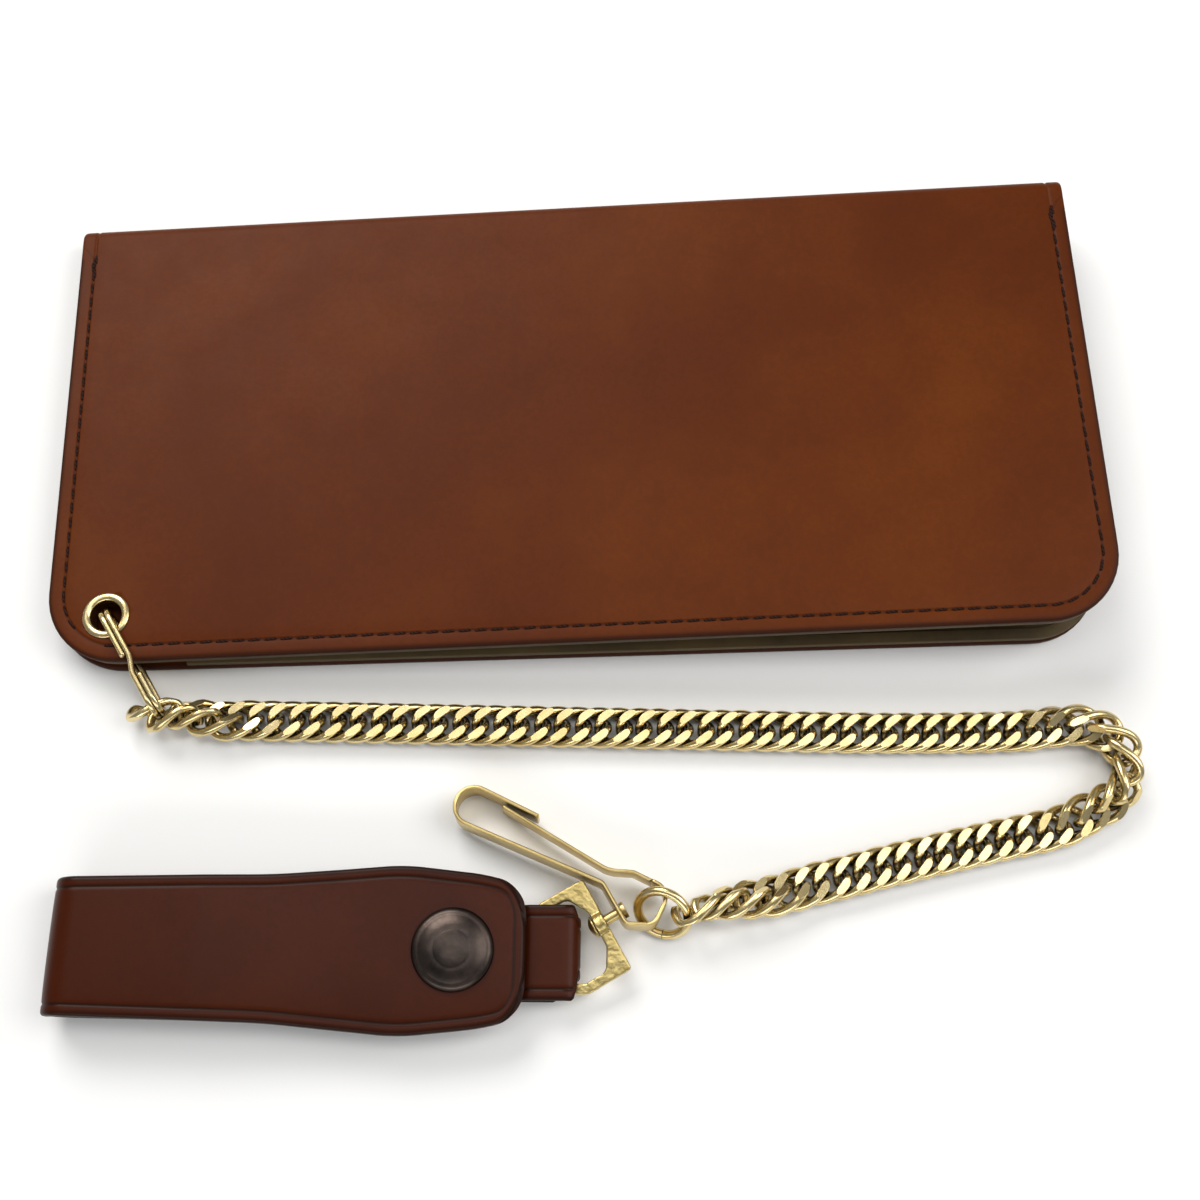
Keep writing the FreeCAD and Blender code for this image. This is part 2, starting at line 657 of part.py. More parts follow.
JUMP_CENTRE = Vector(13.4, -95.7, JUMP_Z)
JUMP_AT = (42.3, -2.0)               # where the jump ring's centre lies along and across the clip
BULB_LOW, BULB_HIGH = -6.9, 1.9      # the clip's bulb, across the clip
BULB_RIGHT = 41.9
SEAT = (35.3, -5.48)                 # the swivel's rivet, on the flat step beside the bulb
GATE_PIVOT = (38.2, BULB_HIGH)
HOOK_R = 3.5


def jump_placement():
    turn = Rotation(Vector(0, 0, 1), CLIP_ANGLE).multiply(Rotation(Vector(1, 0, 0), JUMP_TILT))
    return Placement(JUMP_CENTRE, turn)


def make_jump_ring():
    ring = Part.makeTorus(JUMP_RADIUS, JUMP_WIRE / 2)
    slit = Part.makeBox(3, 0.12, 3, Vector(JUMP_RADIUS - 1.5, -0.06, -1.5))
    slit.rotate(Vector(0, 0, 0), Vector(0, 0, 1), -70)
    export("jump_ring", placed(ring.cut(slit), jump_placement()))


def clip_placement():
    """Frame of the clip: X from the hook to the bulb, Y towards the gate, Z along the strip's width."""
    turn = Rotation(Vector(0, 0, 1), CLIP_ANGLE)
    turn = turn.multiply(Rotation(Vector(0, 1, 0), -CLIP_PITCH))
    turn = turn.multiply(Rotation(Vector(1, 0, 0), -CLIP_TILT))
    at = turn.multVec(Vector(JUMP_AT[0], JUMP_AT[1], 0))
    return Placement(Vector(JUMP_CENTRE.x - at.x, JUMP_CENTRE.y - at.y, HOOK_Z), turn)


def make_clip():
    """One bent brass strip, split at the bulb into the frame with its hook and the spring gate."""
    place = clip_placement()
    half = STRIP_WIDTH / 2
    frame = band([(14.8, 3.3), (0.1, 3.3), (0.1, -3.9), (30.6, -2.3), (37.4, BULB_LOW),
                  (BULB_RIGHT, -5.0), (BULB_RIGHT, BULB_HIGH), (GATE_PIVOT[0] + 0.15, BULB_HIGH)],
                 [1, HOOK_R, HOOK_R, 1.6, 1.4, 2.0, 2.6, 1], STRIP, -half, half)
    axis = place.inverse().Rotation.multVec(swivel_axis())
    start = Vector(SEAT[0], SEAT[1], 0)
    hole = Part.makeCylinder(RIVET_R + 0.2, 6, start - axis * 3, axis)
    export("clip_frame", placed(frame.cut(hole), place))
    gate = band([(GATE_PIVOT[0] - 0.15, BULB_HIGH), (34.6, BULB_HIGH), (30.5, 0.2), (8.2, 2.1)],
                [1, 2.0, 6.0, 1], STRIP, -half + 0.3, half - 0.3)
    export("clip_gate", placed(gate, place))


def swivel_axis():
    """Direction of the rivet, from the clip towards the belt loop."""
    plan_angle = math.radians(180 + D_ANGLE)
    drop = math.radians(D_DROP)
    return Vector(math.cos(plan_angle) * math.cos(drop), math.sin(plan_angle) * math.cos(drop),
                  -math.sin(drop))


def swivel_placement():
    """Frame on the clip's seat: X along the rivet towards the belt loop, Y level."""
    axis = swivel_axis()
    level = Vector(axis.y, -axis.x, 0).normalize()
    return in_frame(clip_placement().multVec(Vector(SEAT[0], SEAT[1], 0)), axis, level)


SWIVEL_GAP = 2.2                     # bare rivet between the clip's seat and the D-ring's bar
D_BAR_THICK = 2.0
D_SHIFT = 0.6                        # the rivet's hole, off the middle of the D's bar
D_CENTRE = STRIP / 2 + SWIVEL_GAP + D_BAR_THICK / 2      # the bar's centre, along the rivet
D_BACK = 13.7                        # outside of the D's back, from the bar's centre
HEAD_GAP = 0.25


def make_swivel():
    inner = STRIP / 2 + HEAD_GAP
    outer = D_CENTRE + D_BAR_THICK / 2 + 0.15
    shank = Part.makeCylinder(RIVET_R, inner + outer + 0.4, Vector(-inner - 0.2, 0, 0), Vector(1, 0, 0))
    small = Part.makeCylinder(1.5, 0.7, Vector(-inner - 0.7, 0, 0), Vector(1, 0, 0))
    head = Part.makeCylinder(2.0, 1.1, Vector(outer, 0, 0), Vector(1, 0, 0))
    head = head.common(Part.makeSphere(2.6, Vector(outer - 1.5, 0, 0)))
    export("swivel_rivet", placed(shank.fuse(small).fuse(head), swivel_placement()))


def make_d_ring():
    """Cast D: a straight bar with square corners, broad inside corners and a rounded back."""
    front_face = D_BAR_THICK / 2
    half = D_BAR / 2
    right = [(-front_face, half), (7.9, half + 0.1), (12.2, 6.3), (D_BACK, 2.4)]
    outer = plate(right + [(x, -y) for x, y in reversed(right)],
                  [0.5, 3.0, 3.5, 4.0, 4.0, 3.5, 3.0, 0.5], -D_THICK / 2, D_THICK / 2)
    right = [(front_face, 3.4), (3.2, 7.1), (7.4, 7.15), (10.7, 5.0), (11.8, 1.8)]
    inner = plate(right + [(x, -y) for x, y in reversed(right)],
                  [1.5, 1.6, 2.0, 2.5, 3.5, 3.5, 2.5, 2.0, 1.6, 1.5], -9, 9)
    ring = outer.cut(inner)
    ring.translate(Vector(0, -D_SHIFT, 0))
    boss = Part.makeCylinder(2.0, D_BAR_THICK, Vector(-front_face, 0, 0), Vector(1, 0, 0))
    hole = Part.makeCylinder(RIVET_R + 0.15, 9, Vector(-4.5, 0, 0), Vector(1, 0, 0))
    ring = ring.fuse(boss).cut(hole).removeSplitter()
    ring.translate(Vector(D_CENTRE, 0, 0))
    export("d_ring", placed(ring, swivel_placement()))


# ---- belt loop --------------------------------------------------------------------------------------
STRAP_WAY = Vector(math.cos(math.radians(STRAP_ANGLE)), math.sin(math.radians(STRAP_ANGLE)), 0)
STRAP_PLACE = in_frame(Vector(SNAP[0], SNAP[1], 0), STRAP_WAY, Vector(-STRAP_WAY.y, STRAP_WAY.x, 0))
STRAP_LOW = 0.1
FOLD_LEATHER = 1.1                   # skived thinner where it folds round the D-ring
FOLD_TOP = 5.60                      # centre height of its upper layer at the fold
PASSAGE = 5.2                        # free height inside the loop
SNAP_LIFT = 1.3                      # bottom of the strap at the snap, above the folded tail
SNAP_GAP = 2.3                       # between strap and flap at the snap
SPLIT_GAP = 0.2                      # between strap and flap in the left fold
POST_R = 1.4
POST_HOLE_R = 1.5
POST_HEAD_R = 5.0
SOCKET_R = 5.6
SOCKET_BORE_R = 3.3
STUD_R = 3.0
STUD_FOOT_R = 4.6
DOME_R = 14.0
DOME_RISE = 2.6


def side_band(points, radii, thickness, half_width):
    """A strip whose run is drawn in the strap's XZ plane."""
    strip = band(points, radii, thickness, -half_width, half_width)
    strip.rotate(Vector(0, 0, 0), Vector(1, 0, 0), 90)
    return strip


def make_belt_loop():
    half = STRAP / 2
    low = STRAP_LOW + half
    mid = SNAP_LIFT + half
    fold_low = STRAP_LOW + FOLD_LEATHER / 2
    left = LOOP_LEFT + half
    high = low + STRAP + PASSAGE
    top = mid + STRAP + SNAP_GAP
    turn = (high - low) / 2
    split = (low + high) / 2

    strap_outline = plate([(LOOP_LEFT - 1, -11.7), (-20, -12.3), (-2, -8.2), (30, -8.2), (30, 8.2),
                           (-2, 8.2), (-20, 12.3), (LOOP_LEFT - 1, 11.7)],
                          [0.5, 20, 20, 0.5, 0.5, 20, 20, 0.5], -5, 20)
    main = side_band([(left, split - SPLIT_GAP / 2), (left, low), (-42, low), (-32, mid), (9, mid)],
                     [1, turn - 0.2, 8, 8, 1], STRAP, 20)
    upper = mid + half - FOLD_LEATHER / 2
    bight = FOLD_END - FOLD_LEATHER / 2
    bend = (FOLD_TOP - fold_low) / 2 - 0.25
    fold = side_band([(5, upper), (8.4, upper), (13.0, 4.5), (bight, FOLD_TOP), (bight, fold_low),
                      (-31.0, fold_low)],
                     [1, 3, 3, bend, bend, 1], FOLD_LEATHER, 20)
    strap = main.fuse(fold).common(strap_outline)
    strap = strap.cut(plate([(17.6, 9.5), (20.0, 6.2), (30, 6.2), (30, 9.5)], [0.3, 1.5, 0.3, 0.3],
                            -5, 20))
    strap = strap.cut(plate([(30, -9.5), (30, -4.6), (20.0, -4.6), (17.6, -9.5)], [0.3, 0.3, 1.5, 0.3],
                            -5, 20))
    post_hole = disc((0, 0), POST_HOLE_R, -5, 9)
    strap = strap.cut(post_hole).cut(disc((0, 0), POST_HEAD_R + 0.1, -5, 0.5))
    export("belt_strap", placed(strap.removeSplitter(), STRAP_PLACE))

    flap_outline = plate([(LOOP_LEFT - 1, -11.7), (-32, -12.6), (-9, -14.6), (6, -13.0),
                          (FLAP_END, -11.0), (FLAP_END, 11.0), (6, 13.0), (-9, 14.6),
                          (-32, 12.6), (LOOP_LEFT - 1, 11.7)],
                         [0.5, 30, 16, 6, 4.5, 4.5, 6, 16, 30, 0.5], -5, 20)
    flap = side_band([(left, split + SPLIT_GAP / 2), (left, high), (-44, high), (-20, top), (FLAP_END + 1, top)],
                     [1, turn - 0.2, 18, 18, 1], STRAP, 20)
    flap = flap.common(flap_outline).cut(disc((0, 0), POST_HOLE_R, -5, 20))
    export("belt_flap", placed(flap, STRAP_PLACE))
    make_snap(mid + half, top - half, top + half)


def make_snap(strap_top, flap_low, flap_top):
    """Cap and socket on the flap, stud and post on the strap."""
    cap = Part.makeCylinder(SNAP_CAP_R, 1.0, Vector(0, 0, flap_top))
    dome = Part.makeSphere(DOME_R, Vector(0, 0, flap_top + DOME_RISE - DOME_R)).common(
        Part.makeCylinder(SNAP_CAP_R, DOME_RISE, Vector(0, 0, flap_top)))
    stem = Part.makeCylinder(POST_R, STRAP + 0.3, Vector(0, 0, flap_low - 0.3))
    export("snap_cap", placed(cap.fuse(dome).fuse(stem).removeSplitter(), STRAP_PLACE))
    socket = disc((0, 0), SOCKET_R, flap_low - 1.5, flap_low - 0.3)
    washer = disc((0, 0), SOCKET_R, flap_low - 0.3, flap_low).cut(disc((0, 0), POST_HOLE_R, 0, 20))
    socket = socket.fuse(washer).cut(disc((0, 0), SOCKET_BORE_R, flap_low - 2, flap_low - 0.35))
    export("snap_socket", placed(socket, STRAP_PLACE))
    stud = disc((0, 0), STUD_FOOT_R, strap_top, strap_top + 0.15)
    stud = stud.fuse(disc((0, 0), STUD_R, strap_top, flap_low - 0.5))
    stud = stud.cut(disc((0, 0), POST_HOLE_R, 0, strap_top + 0.9))
    export("snap_stud", placed(stud, STRAP_PLACE))
    post = disc((0, 0), POST_HEAD_R, 0.0, 0.5).fuse(disc((0, 0), POST_R, 0.0, strap_top + 0.8))
    export("snap_post", placed(post.removeSplitter(), STRAP_PLACE))


def print_joint_frames(poses):
    """The places that the joints turn about: the jump ring, clip, swivel and each chain hinge."""
    print("chain end", poses[-1][0])
    for place in (jump_placement(), clip_placement(), swivel_placement()):
        print(place)
    for k in range(1, LINK_COUNT // LINKS_PER_SEGMENT):
        a, b = poses[k * LINKS_PER_SEGMENT - 1], poses[k * LINKS_PER_SEGMENT]
        middle = (a[0] + b[0]) * 0.5
        across = a[1].multVec(Vector(0, 1, 0)) + b[1].multVec(Vector(0, 1, 0))
        print("hinge", k, [round(c, 3) for c in middle], [round(c, 4) for c in across.normalize()])


def main():
    os.makedirs("parts", exist_ok=True)
    make_back_half()
    make_spine()
    make_front_half()
    make_coin_pocket()
    make_slider()
    make_eyelet()
    make_split_ring()
    poses = make_chain()
    make_jump_ring()
    make_clip()
    make_swivel()
    make_d_ring()
    make_belt_loop()
    print_joint_frames(poses)


main()
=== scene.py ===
import math
import random

import bmesh
import bpy
from mathutils import Matrix, Vector, noise


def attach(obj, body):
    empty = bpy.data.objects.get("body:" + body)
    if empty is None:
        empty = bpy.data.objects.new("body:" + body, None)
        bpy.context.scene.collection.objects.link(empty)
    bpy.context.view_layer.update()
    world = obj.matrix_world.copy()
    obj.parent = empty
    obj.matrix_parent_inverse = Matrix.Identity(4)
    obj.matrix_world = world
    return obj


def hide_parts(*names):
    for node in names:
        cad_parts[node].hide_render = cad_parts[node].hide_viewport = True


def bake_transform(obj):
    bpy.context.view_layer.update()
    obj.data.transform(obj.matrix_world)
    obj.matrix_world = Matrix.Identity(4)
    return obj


# Looks of the chain wallet: leather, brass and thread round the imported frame. Lengths here are in
# millimetres, in the part's frame, and become metres when a mesh is made.
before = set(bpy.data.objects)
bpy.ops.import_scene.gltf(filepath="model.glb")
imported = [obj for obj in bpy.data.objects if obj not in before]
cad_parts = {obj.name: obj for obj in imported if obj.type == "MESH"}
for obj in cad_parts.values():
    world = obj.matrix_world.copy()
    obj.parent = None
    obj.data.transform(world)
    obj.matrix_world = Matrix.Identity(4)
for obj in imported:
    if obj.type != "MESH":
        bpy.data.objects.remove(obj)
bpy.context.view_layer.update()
random.seed(7)

MM = 0.001
HALF_LENGTH = 100.0
HEIGHT = 94.0
CORNER = 14.0
COVER = 1.8
ROLL = 3.0                       # outer radius of the leather where it turns into the spine
RISE = 11.1                      # height of the front's outer face over the origin
SLOPE = math.atan2(9.0, 200.0)
SEAM = 3.0
LINING = 1.3
EDGE_REACH = 8.0                 # a point further than this from a leather's edge counts as inside
EYELET = (-88.5, -38.0)
EYELET_HOLE = 3.4
CREASE = 1.95                    # pressed line inside the belt loop's edges
STRAP_ORIGIN = (-23.4, -101.2)
STRAP_YAW = math.radians(-2.4)


# ---- geometry -----------------------------------------------------------------------------------
def front_point(x, y, z):
    """A point drawn under the flat plane z = 0, put into the tilted front half."""
    return (x * math.cos(SLOPE) - z * math.sin(SLOPE), y,
            RISE + x * math.sin(SLOPE) + z * math.cos(SLOPE))


def strap_point(x, y, z):
    c, s = math.cos(STRAP_YAW), math.sin(STRAP_YAW)
    return (STRAP_ORIGIN[0] + x * c - y * s, STRAP_ORIGIN[1] + x * s + y * c, z)


def new_piece(name, verts, faces, material, body=None, slot=None, replaced=(), edge=None):
    """Makes a mesh from millimetre points and gives it a material and a body; the slot argument is not
    used.
    """
    mesh = bpy.data.meshes.new(name)
    mesh.from_pydata([[c * MM for c in v] for v in verts], [], faces)
    if edge is not None:
        attribute = mesh.attributes.new("edge_d", "FLOAT", "POINT")
        attribute.data.foreach_set("value", edge)
    piece = bpy.data.objects.new(name, mesh)
    bpy.context.collection.objects.link(piece)
    work = bmesh.new()
    work.from_mesh(mesh)
    bmesh.ops.remove_doubles(work, verts=work.verts, dist=0.00001)
    bmesh.ops.dissolve_degenerate(work, edges=work.edges, dist=0.000005)
    bmesh.ops.recalc_face_normals(work, faces=work.faces)
    work.to_mesh(mesh)
    work.free()
    for polygon in mesh.polygons:
        polygon.use_smooth = True
    mesh.materials.append(material)
    dress(piece, body, slot, replaced)
    return piece


def dress(piece, body, slot, replaced):
    if replaced:
        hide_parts(*replaced)
    if body:
        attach(piece, body)


def lathe(name, profile, placing, material, body, slot, replaced, steps=72):
    """Turns a profile of (radius, height) round an axis; placing maps local points to the frame."""
    verts, faces = [], []
    for r, z in profile:
        for i in range(steps):
            a = 2 * math.pi * i / steps
            verts.append(placing(r * math.cos(a), r * math.sin(a), z))
    count = len(profile)
    closed = profile[0] == profile[-1]
    for k in range(count - 1):
        for i in range(steps):
            j = (i + 1) % steps
            faces.append((k * steps + i, k * steps + j, (k + 1) * steps + j, (k + 1) * steps + i))
    if not closed:
        for k in (0, count - 1):
            if profile[k][0] > 0.001:
                faces.append(tuple(k * steps + i for i in range(steps)))
    return new_piece(name, verts, faces, material, body, slot, replaced)


# ---- materials ----------------------------------------------------------------------------------
class Nodes:
    """A few short calls for building a node tree."""

    def __init__(self, name):
        self.material = bpy.data.materials.new(name)
        self.material.use_nodes = True
        self.tree = self.material.node_tree
        self.shader = self.tree.nodes["Principled BSDF"]
        self.place = self.add("ShaderNodeTexCoord").outputs["Object"]

    def add(self, kind, **values):
        node = self.tree.nodes.new(kind)
        for key, value in values.items():
            setattr(node, key, value)
        return node

    def link(self, a, b):
        self.tree.links.new(a, b)

    def value(self, name, number):
        self.shader.inputs[name].default_value = number

    def noise(self, scale, detail=3.0, rough=0.55, stretch=None, distortion=0.0):
        node = self.add("ShaderNodeTexNoise")
        node.inputs["Scale"].default_value = scale
        node.inputs["Detail"].default_value = detail
        node.inputs["Roughness"].default_value = rough
        node.inputs["Distortion"].default_value = distortion
        place = self.place
        if stretch:
            mapping = self.add("ShaderNodeMapping")
            mapping.inputs["Scale"].default_value = stretch
            self.link(place, mapping.inputs["Vector"])
            place = mapping.outputs["Vector"]
        self.link(place, node.inputs["Vector"])
        return node.outputs["Fac"]

    def cells(self, scale):
        node = self.add("ShaderNodeTexVoronoi", feature="F1")
        node.inputs["Scale"].default_value = scale
        self.link(self.place, node.inputs["Vector"])
        return node.outputs["Distance"]

    def ramp(self, source, stops):
        node = self.add("ShaderNodeValToRGB")
        band = node.color_ramp
        while len(band.elements) < len(stops):
            band.elements.new(0.5)
        for element, (at, colour) in zip(band.elements, stops):
            element.position = at
            element.color = colour if len(colour) == 4 else (*colour, 1)
        self.link(source, node.inputs["Fac"])
        return node.outputs["Color"]

    def math(self, operation, a, b, clamp=False):
        node = self.add("ShaderNodeMath", operation=operation, use_clamp=clamp)
        for socket, item in zip(node.inputs, (a, b)):
            if isinstance(item, (int, float)):
                socket.default_value = item
            else:
                self.link(item, socket)
        return node.outputs[0]

    def mix(self, factor, a, b, blend="MIX"):
        node = self.add("ShaderNodeMix", data_type="RGBA", blend_type=blend)
        for socket, item in ((node.inputs[0], factor), (node.inputs[6], a), (node.inputs[7], b)):
            if isinstance(item, (int, float)):
                socket.default_value = item
            elif isinstance(item, tuple):
                socket.default_value = (*item, 1)
            else:
                self.link(item, socket)
        return node.outputs[2]

    def edge(self, stops):
        """A ramp on the distance in millimetres to the piece's edge, up to EDGE_REACH."""
        node = self.add("ShaderNodeAttribute", attribute_name="edge_d")
        near = self.math("MULTIPLY", node.outputs["Fac"], 1 / EDGE_REACH, True)
        return self.ramp(near, [(at / EDGE_REACH, (v, v, v)) for at, v in stops])

    def bump(self, heights, radius=0.0):
        """Bumps from (height, strength, distance in mm), one on another."""
        normal = None
        if radius:
            bevel = self.add("ShaderNodeBevel", samples=4)
            bevel.inputs["Radius"].default_value = radius * MM
            normal = bevel.outputs["Normal"]
        for height, strength, distance in heights:
            node = self.add("ShaderNodeBump")
            node.inputs["Strength"].default_value = strength
            node.inputs["Distance"].default_value = distance * MM
            self.link(height, node.inputs["Height"])
            if normal:
                self.link(normal, node.inputs["Normal"])
            normal = node.outputs["Normal"]
        self.link(normal, self.shader.inputs["Normal"])

    def colour(self, source):
        self.link(source, self.shader.inputs["Base Color"])

    def roughness(self, source, low, high):
        node = self.add("ShaderNodeMapRange")
        node.inputs["To Min"].default_value = low
        node.inputs["To Max"].default_value = high
        self.link(source, node.inputs["Value"])
        self.link(node.outputs["Result"], self.shader.inputs["Roughness"])


def leather(name, dark, middle, light, edge_colour, groove=SEAM, rough=(0.34, 0.5), crease=0.5,
            coat=0.12):
    """Smooth vegetable-tanned leather: clouded colour, pores, faint scuffs and a burnished edge."""
    n = Nodes(name)
    clouds = n.noise(22, 4, 0.6)
    fine = n.noise(900, 3, 0.65)
    base = n.ramp(clouds, [(0.28, dark), (0.5, middle), (0.74, light)])
    speck = n.ramp(fine, [(0.35, (0.78, 0.78, 0.78)), (0.62, (1, 1, 1))])
    base = n.mix(0.45, base, speck, "MULTIPLY")
    scuff = n.ramp(n.noise(60, 6, 0.7, (1, 9, 1), 1.5), [(0.66, (0, 0, 0)), (0.78, (1, 1, 1))])
    base = n.mix(n.math("MULTIPLY", scuff, 0.10), base, light)
    burnish = n.edge([(0.0, 1.0), (0.45, 0.85), (1.1, 0.12), (2.4, 0.0)])
    base = n.mix(n.math("MULTIPLY", burnish, 0.9), base, edge_colour)
    line = n.edge([(groove - 0.45, 0.0), (groove - 0.12, 1.0), (groove + 0.12, 1.0),
                   (groove + 0.45, 0.0)])
    base = n.mix(n.math("MULTIPLY", line, crease), base, edge_colour)
    n.colour(base)
    n.roughness(n.noise(140, 4, 0.6), *rough)
    pores = n.cells(1500)
    n.bump([(line, -0.4, 0.15), (pores, 0.12, 0.05), (fine, 0.10, 0.05), (n.noise(55, 3), 0.10, 0.6)])
    n.value("Coat Weight", coat)
    n.value("Coat Roughness", 0.28)
    n.value("Specular IOR Level", 0.10)
    return n.material


def raw_leather(name, dark, light, rough=0.75):
    """Flesh side and cut edges: fibres in layers."""
    n = Nodes(name)
    layers = n.noise(260, 5, 0.7, (0.12, 0.12, 7))
    n.colour(n.ramp(layers, [(0.3, dark), (0.7, light)]))
    n.roughness(n.noise(300), rough - 0.1, rough + 0.1)
    n.bump([(layers, 0.4, 0.15), (n.noise(1400, 4), 0.25, 0.05)])
    return n.material


def metal(name, deep, middle, bright, rough, grain=0.0, scratch=0.15, recess_shade=0.5, bevel=0.12):
    """Plated or cast metal with soft edges, scratches and painted shade in its recesses."""
    n = Nodes(name)
    tint = n.ramp(n.noise(180, 4, 0.6), [(0.3, middle), (0.7, bright)])
    # painted shade: ambient occlusion darkens the recesses towards the deep colour, standing in for the
    # dark reflections there
    hollow = n.add("ShaderNodeAmbientOcclusion", samples=6)
    hollow.inputs["Distance"].default_value = 2.2 * MM
    shade = n.ramp(hollow.outputs["AO"], [(0.25, (recess_shade, recess_shade, recess_shade)), (0.85, (0, 0, 0))])
    n.colour(n.mix(shade, tint, deep))
    n.roughness(n.noise(500, 5, 0.7), *rough)
    n.value("Metallic", 1.0)
    lines = n.noise(700, 4, 0.7, (1, 14, 1), 0.6)
    bumps = [(lines, scratch, 0.02)]
    if grain:
        bumps.append((n.noise(650, 5, 0.7), grain, 0.12))
        bumps.append((n.noise(180, 3, 0.6), grain, 0.3))
    n.bump(bumps, bevel)
    return n.material


def thread(name, colour, light):
    n = Nodes(name)
    twist = n.add("ShaderNodeTexWave", wave_type="BANDS", bands_direction="DIAGONAL")
    twist.inputs["Scale"].default_value = 700
    twist.inputs["Distortion"].default_value = 1.5
    n.link(n.place, twist.inputs["Vector"])
    n.colour(n.ramp(twist.outputs["Fac"], [(0.2, colour), (0.8, light)]))
    n.value("Roughness", 0.8)
    n.value("Specular IOR Level", 0.15)
    n.bump([(twist.outputs["Fac"], 0.5, 0.1)])
    return n.material


def woven(name, dark, light):
    n = Nodes(name)
    weave = n.add("ShaderNodeTexChecker")
    weave.inputs["Scale"].default_value = 2200
    n.link(n.place, weave.inputs["Vector"])
    n.colour(n.mix(weave.outputs["Fac"], dark, light))
    n.value("Roughness", 0.85)
    n.value("Sheen Weight", 0.3)
    n.bump([(weave.outputs["Fac"], 0.5, 0.08)])
    return n.material


TAN_EDGE = (0.026, 0.007, 0.0025)
wallet_leather = leather("wallet_leather", (0.078, 0.0140, 0.0007), (0.095, 0.0180, 0.0008),
                         (0.122, 0.0260, 0.0012), TAN_EDGE, SEAM, (0.40, 0.55), 0.35, 0.0)
belt_leather = leather("belt_leather", (0.038, 0.0062, 0.0008), (0.051, 0.0086, 0.0010),
                       (0.070, 0.0130, 0.0014), (0.012, 0.0035, 0.0016), CREASE, (0.30, 0.42), 0.8, 0.05)
lining_edge = raw_leather("lining_edge", (0.045, 0.028, 0.008), (0.115, 0.075, 0.024))
pocket_leather = raw_leather("pocket_leather", (0.075, 0.028, 0.007), (0.120, 0.046, 0.012), 0.6)
gusset_leather = raw_leather("gusset_leather", (0.050, 0.028, 0.011), (0.095, 0.055, 0.020), 0.7)
chain_brass = metal("chain_brass", (0.045, 0.024, 0.008), (0.66, 0.50, 0.22), (0.84, 0.70, 0.38),
                    (0.18, 0.32), 0.0, 0.12, 0.95, 0.10)
clip_brass = metal("clip_brass", (0.07, 0.045, 0.012), (0.58, 0.43, 0.16), (0.74, 0.58, 0.26),
                   (0.24, 0.38), 0.04, 0.25, 0.8, 0.12)
cast_brass = metal("cast_brass", (0.07, 0.045, 0.012), (0.45, 0.34, 0.12), (0.62, 0.49, 0.21),
                   (0.26, 0.42), 0.45, 0.3, 0.8, 0.12)
snap_metal = metal("snap_metal", (0.010, 0.008, 0.007), (0.030, 0.026, 0.024), (0.090, 0.066, 0.055),
                   (0.26, 0.44), 0.12, 0.3, 0.9, 0.10)
seam_thread = thread("seam_thread", (0.010, 0.003, 0.002), (0.030, 0.010, 0.005))
zip_tape = woven("zip_tape", (0.012, 0.009, 0.007), (0.03, 0.024, 0.018))


# ---- the two cover halves -------------------------------------------------------------------------
TOP_PROFILE = [(0.0, 0.75), (0.04, 0.45), (0.14, 0.24), (0.32, 0.09), (0.6, 0.02), (1.0, 0.0),
               (SEAM - 0.5, 0.0), (SEAM - 0.32, 0.04), (SEAM - 0.14, 0.15), (SEAM, 0.2),
               (SEAM + 0.14, 0.15), (SEAM + 0.32, 0.04), (SEAM + 0.5, 0.0), (6.0, 0.0), (10.0, 0.0),
               (CORNER, 0.0)]
UNDER_PROFILE = [(CORNER, 0.0), (3.0, 0.0), (0.7, 0.0), (0.3, 0.12), (0.06, 0.4)]
FADE = 7.0                       # the edge's finish fades over this length towards the spine


def cover_half(name, where, replaced):
    """A wallet half: rings that follow its left, open and right edges, then a grid in the middle.

    where(x, row, depth) places a point; rows run from the spine to the open corner."""
    length = HALF_LENGTH
    rows = cover_rows()
    rings = [(d, depth) for d, depth in reversed(TOP_PROFILE)]
    rings += [(d, COVER - depth) for d, depth in reversed(UNDER_PROFILE)]
    arc_steps, columns = 12, 64
    verts, edge, faces = [], [], []
    straight = length - CORNER
    for inset, depth in rings:
        radius = CORNER - inset
        ring = [(-length + inset, row) for row in rows]
        for i in range(1, arc_steps):
            a = math.pi + math.pi / 2 * i / arc_steps
            ring.append((-straight + radius * math.cos(a), CORNER + radius * math.sin(a)))
        ring += [(-straight + 2 * straight * i / columns, inset) for i in range(columns + 1)]
        for i in range(1, arc_steps):
            a = -math.pi / 2 + math.pi / 2 * i / arc_steps
            ring.append((straight + radius * math.cos(a), CORNER + radius * math.sin(a)))
        ring += [(length - inset, row) for row in reversed(rows)]
        for x, row in ring:
            verts.append(where(x, row, depth))
            edge.append(inset + EDGE_REACH * max(0.0, row - HEIGHT + FADE) / FADE)
    count = len(verts) // len(rings)
    for k in range(len(rings) - 1):
        for i in range(count - 1):
            a = k * count + i
            faces.append((a, a + 1, a + count + 1, a + count))
    for depth in (0.0, COVER):
        start = len(verts)
        for row in rows:
            for i in range(columns + 1):
                verts.append(where(-straight + 2 * straight * i / columns, row, depth))
                edge.append(EDGE_REACH)
        for j in range(len(rows) - 1):
            for i in range(columns):
                a = start + j * (columns + 1) + i
                faces.append((a, a + 1, a + columns + 2, a + columns + 1))
    far = [k * count for k in range(len(rings))]
    near = [k * count + count - 1 for k in range(len(rings))]
    first_top = len(rings) * count
    first_under = first_top + len(rows) * (columns + 1)
    top_line = [first_top + i for i in range(columns + 1)]
    under_line = [first_under + i for i in range(columns + 1)]
    faces.append(tuple(far[::-1]))
    faces.append(tuple(near))
    for i in range(columns):
        faces.append((top_line[i], top_line[i + 1], under_line[i + 1], under_line[i]))
    return new_piece(name, verts, faces, wallet_leather, None, "wallet_leather", replaced, edge)


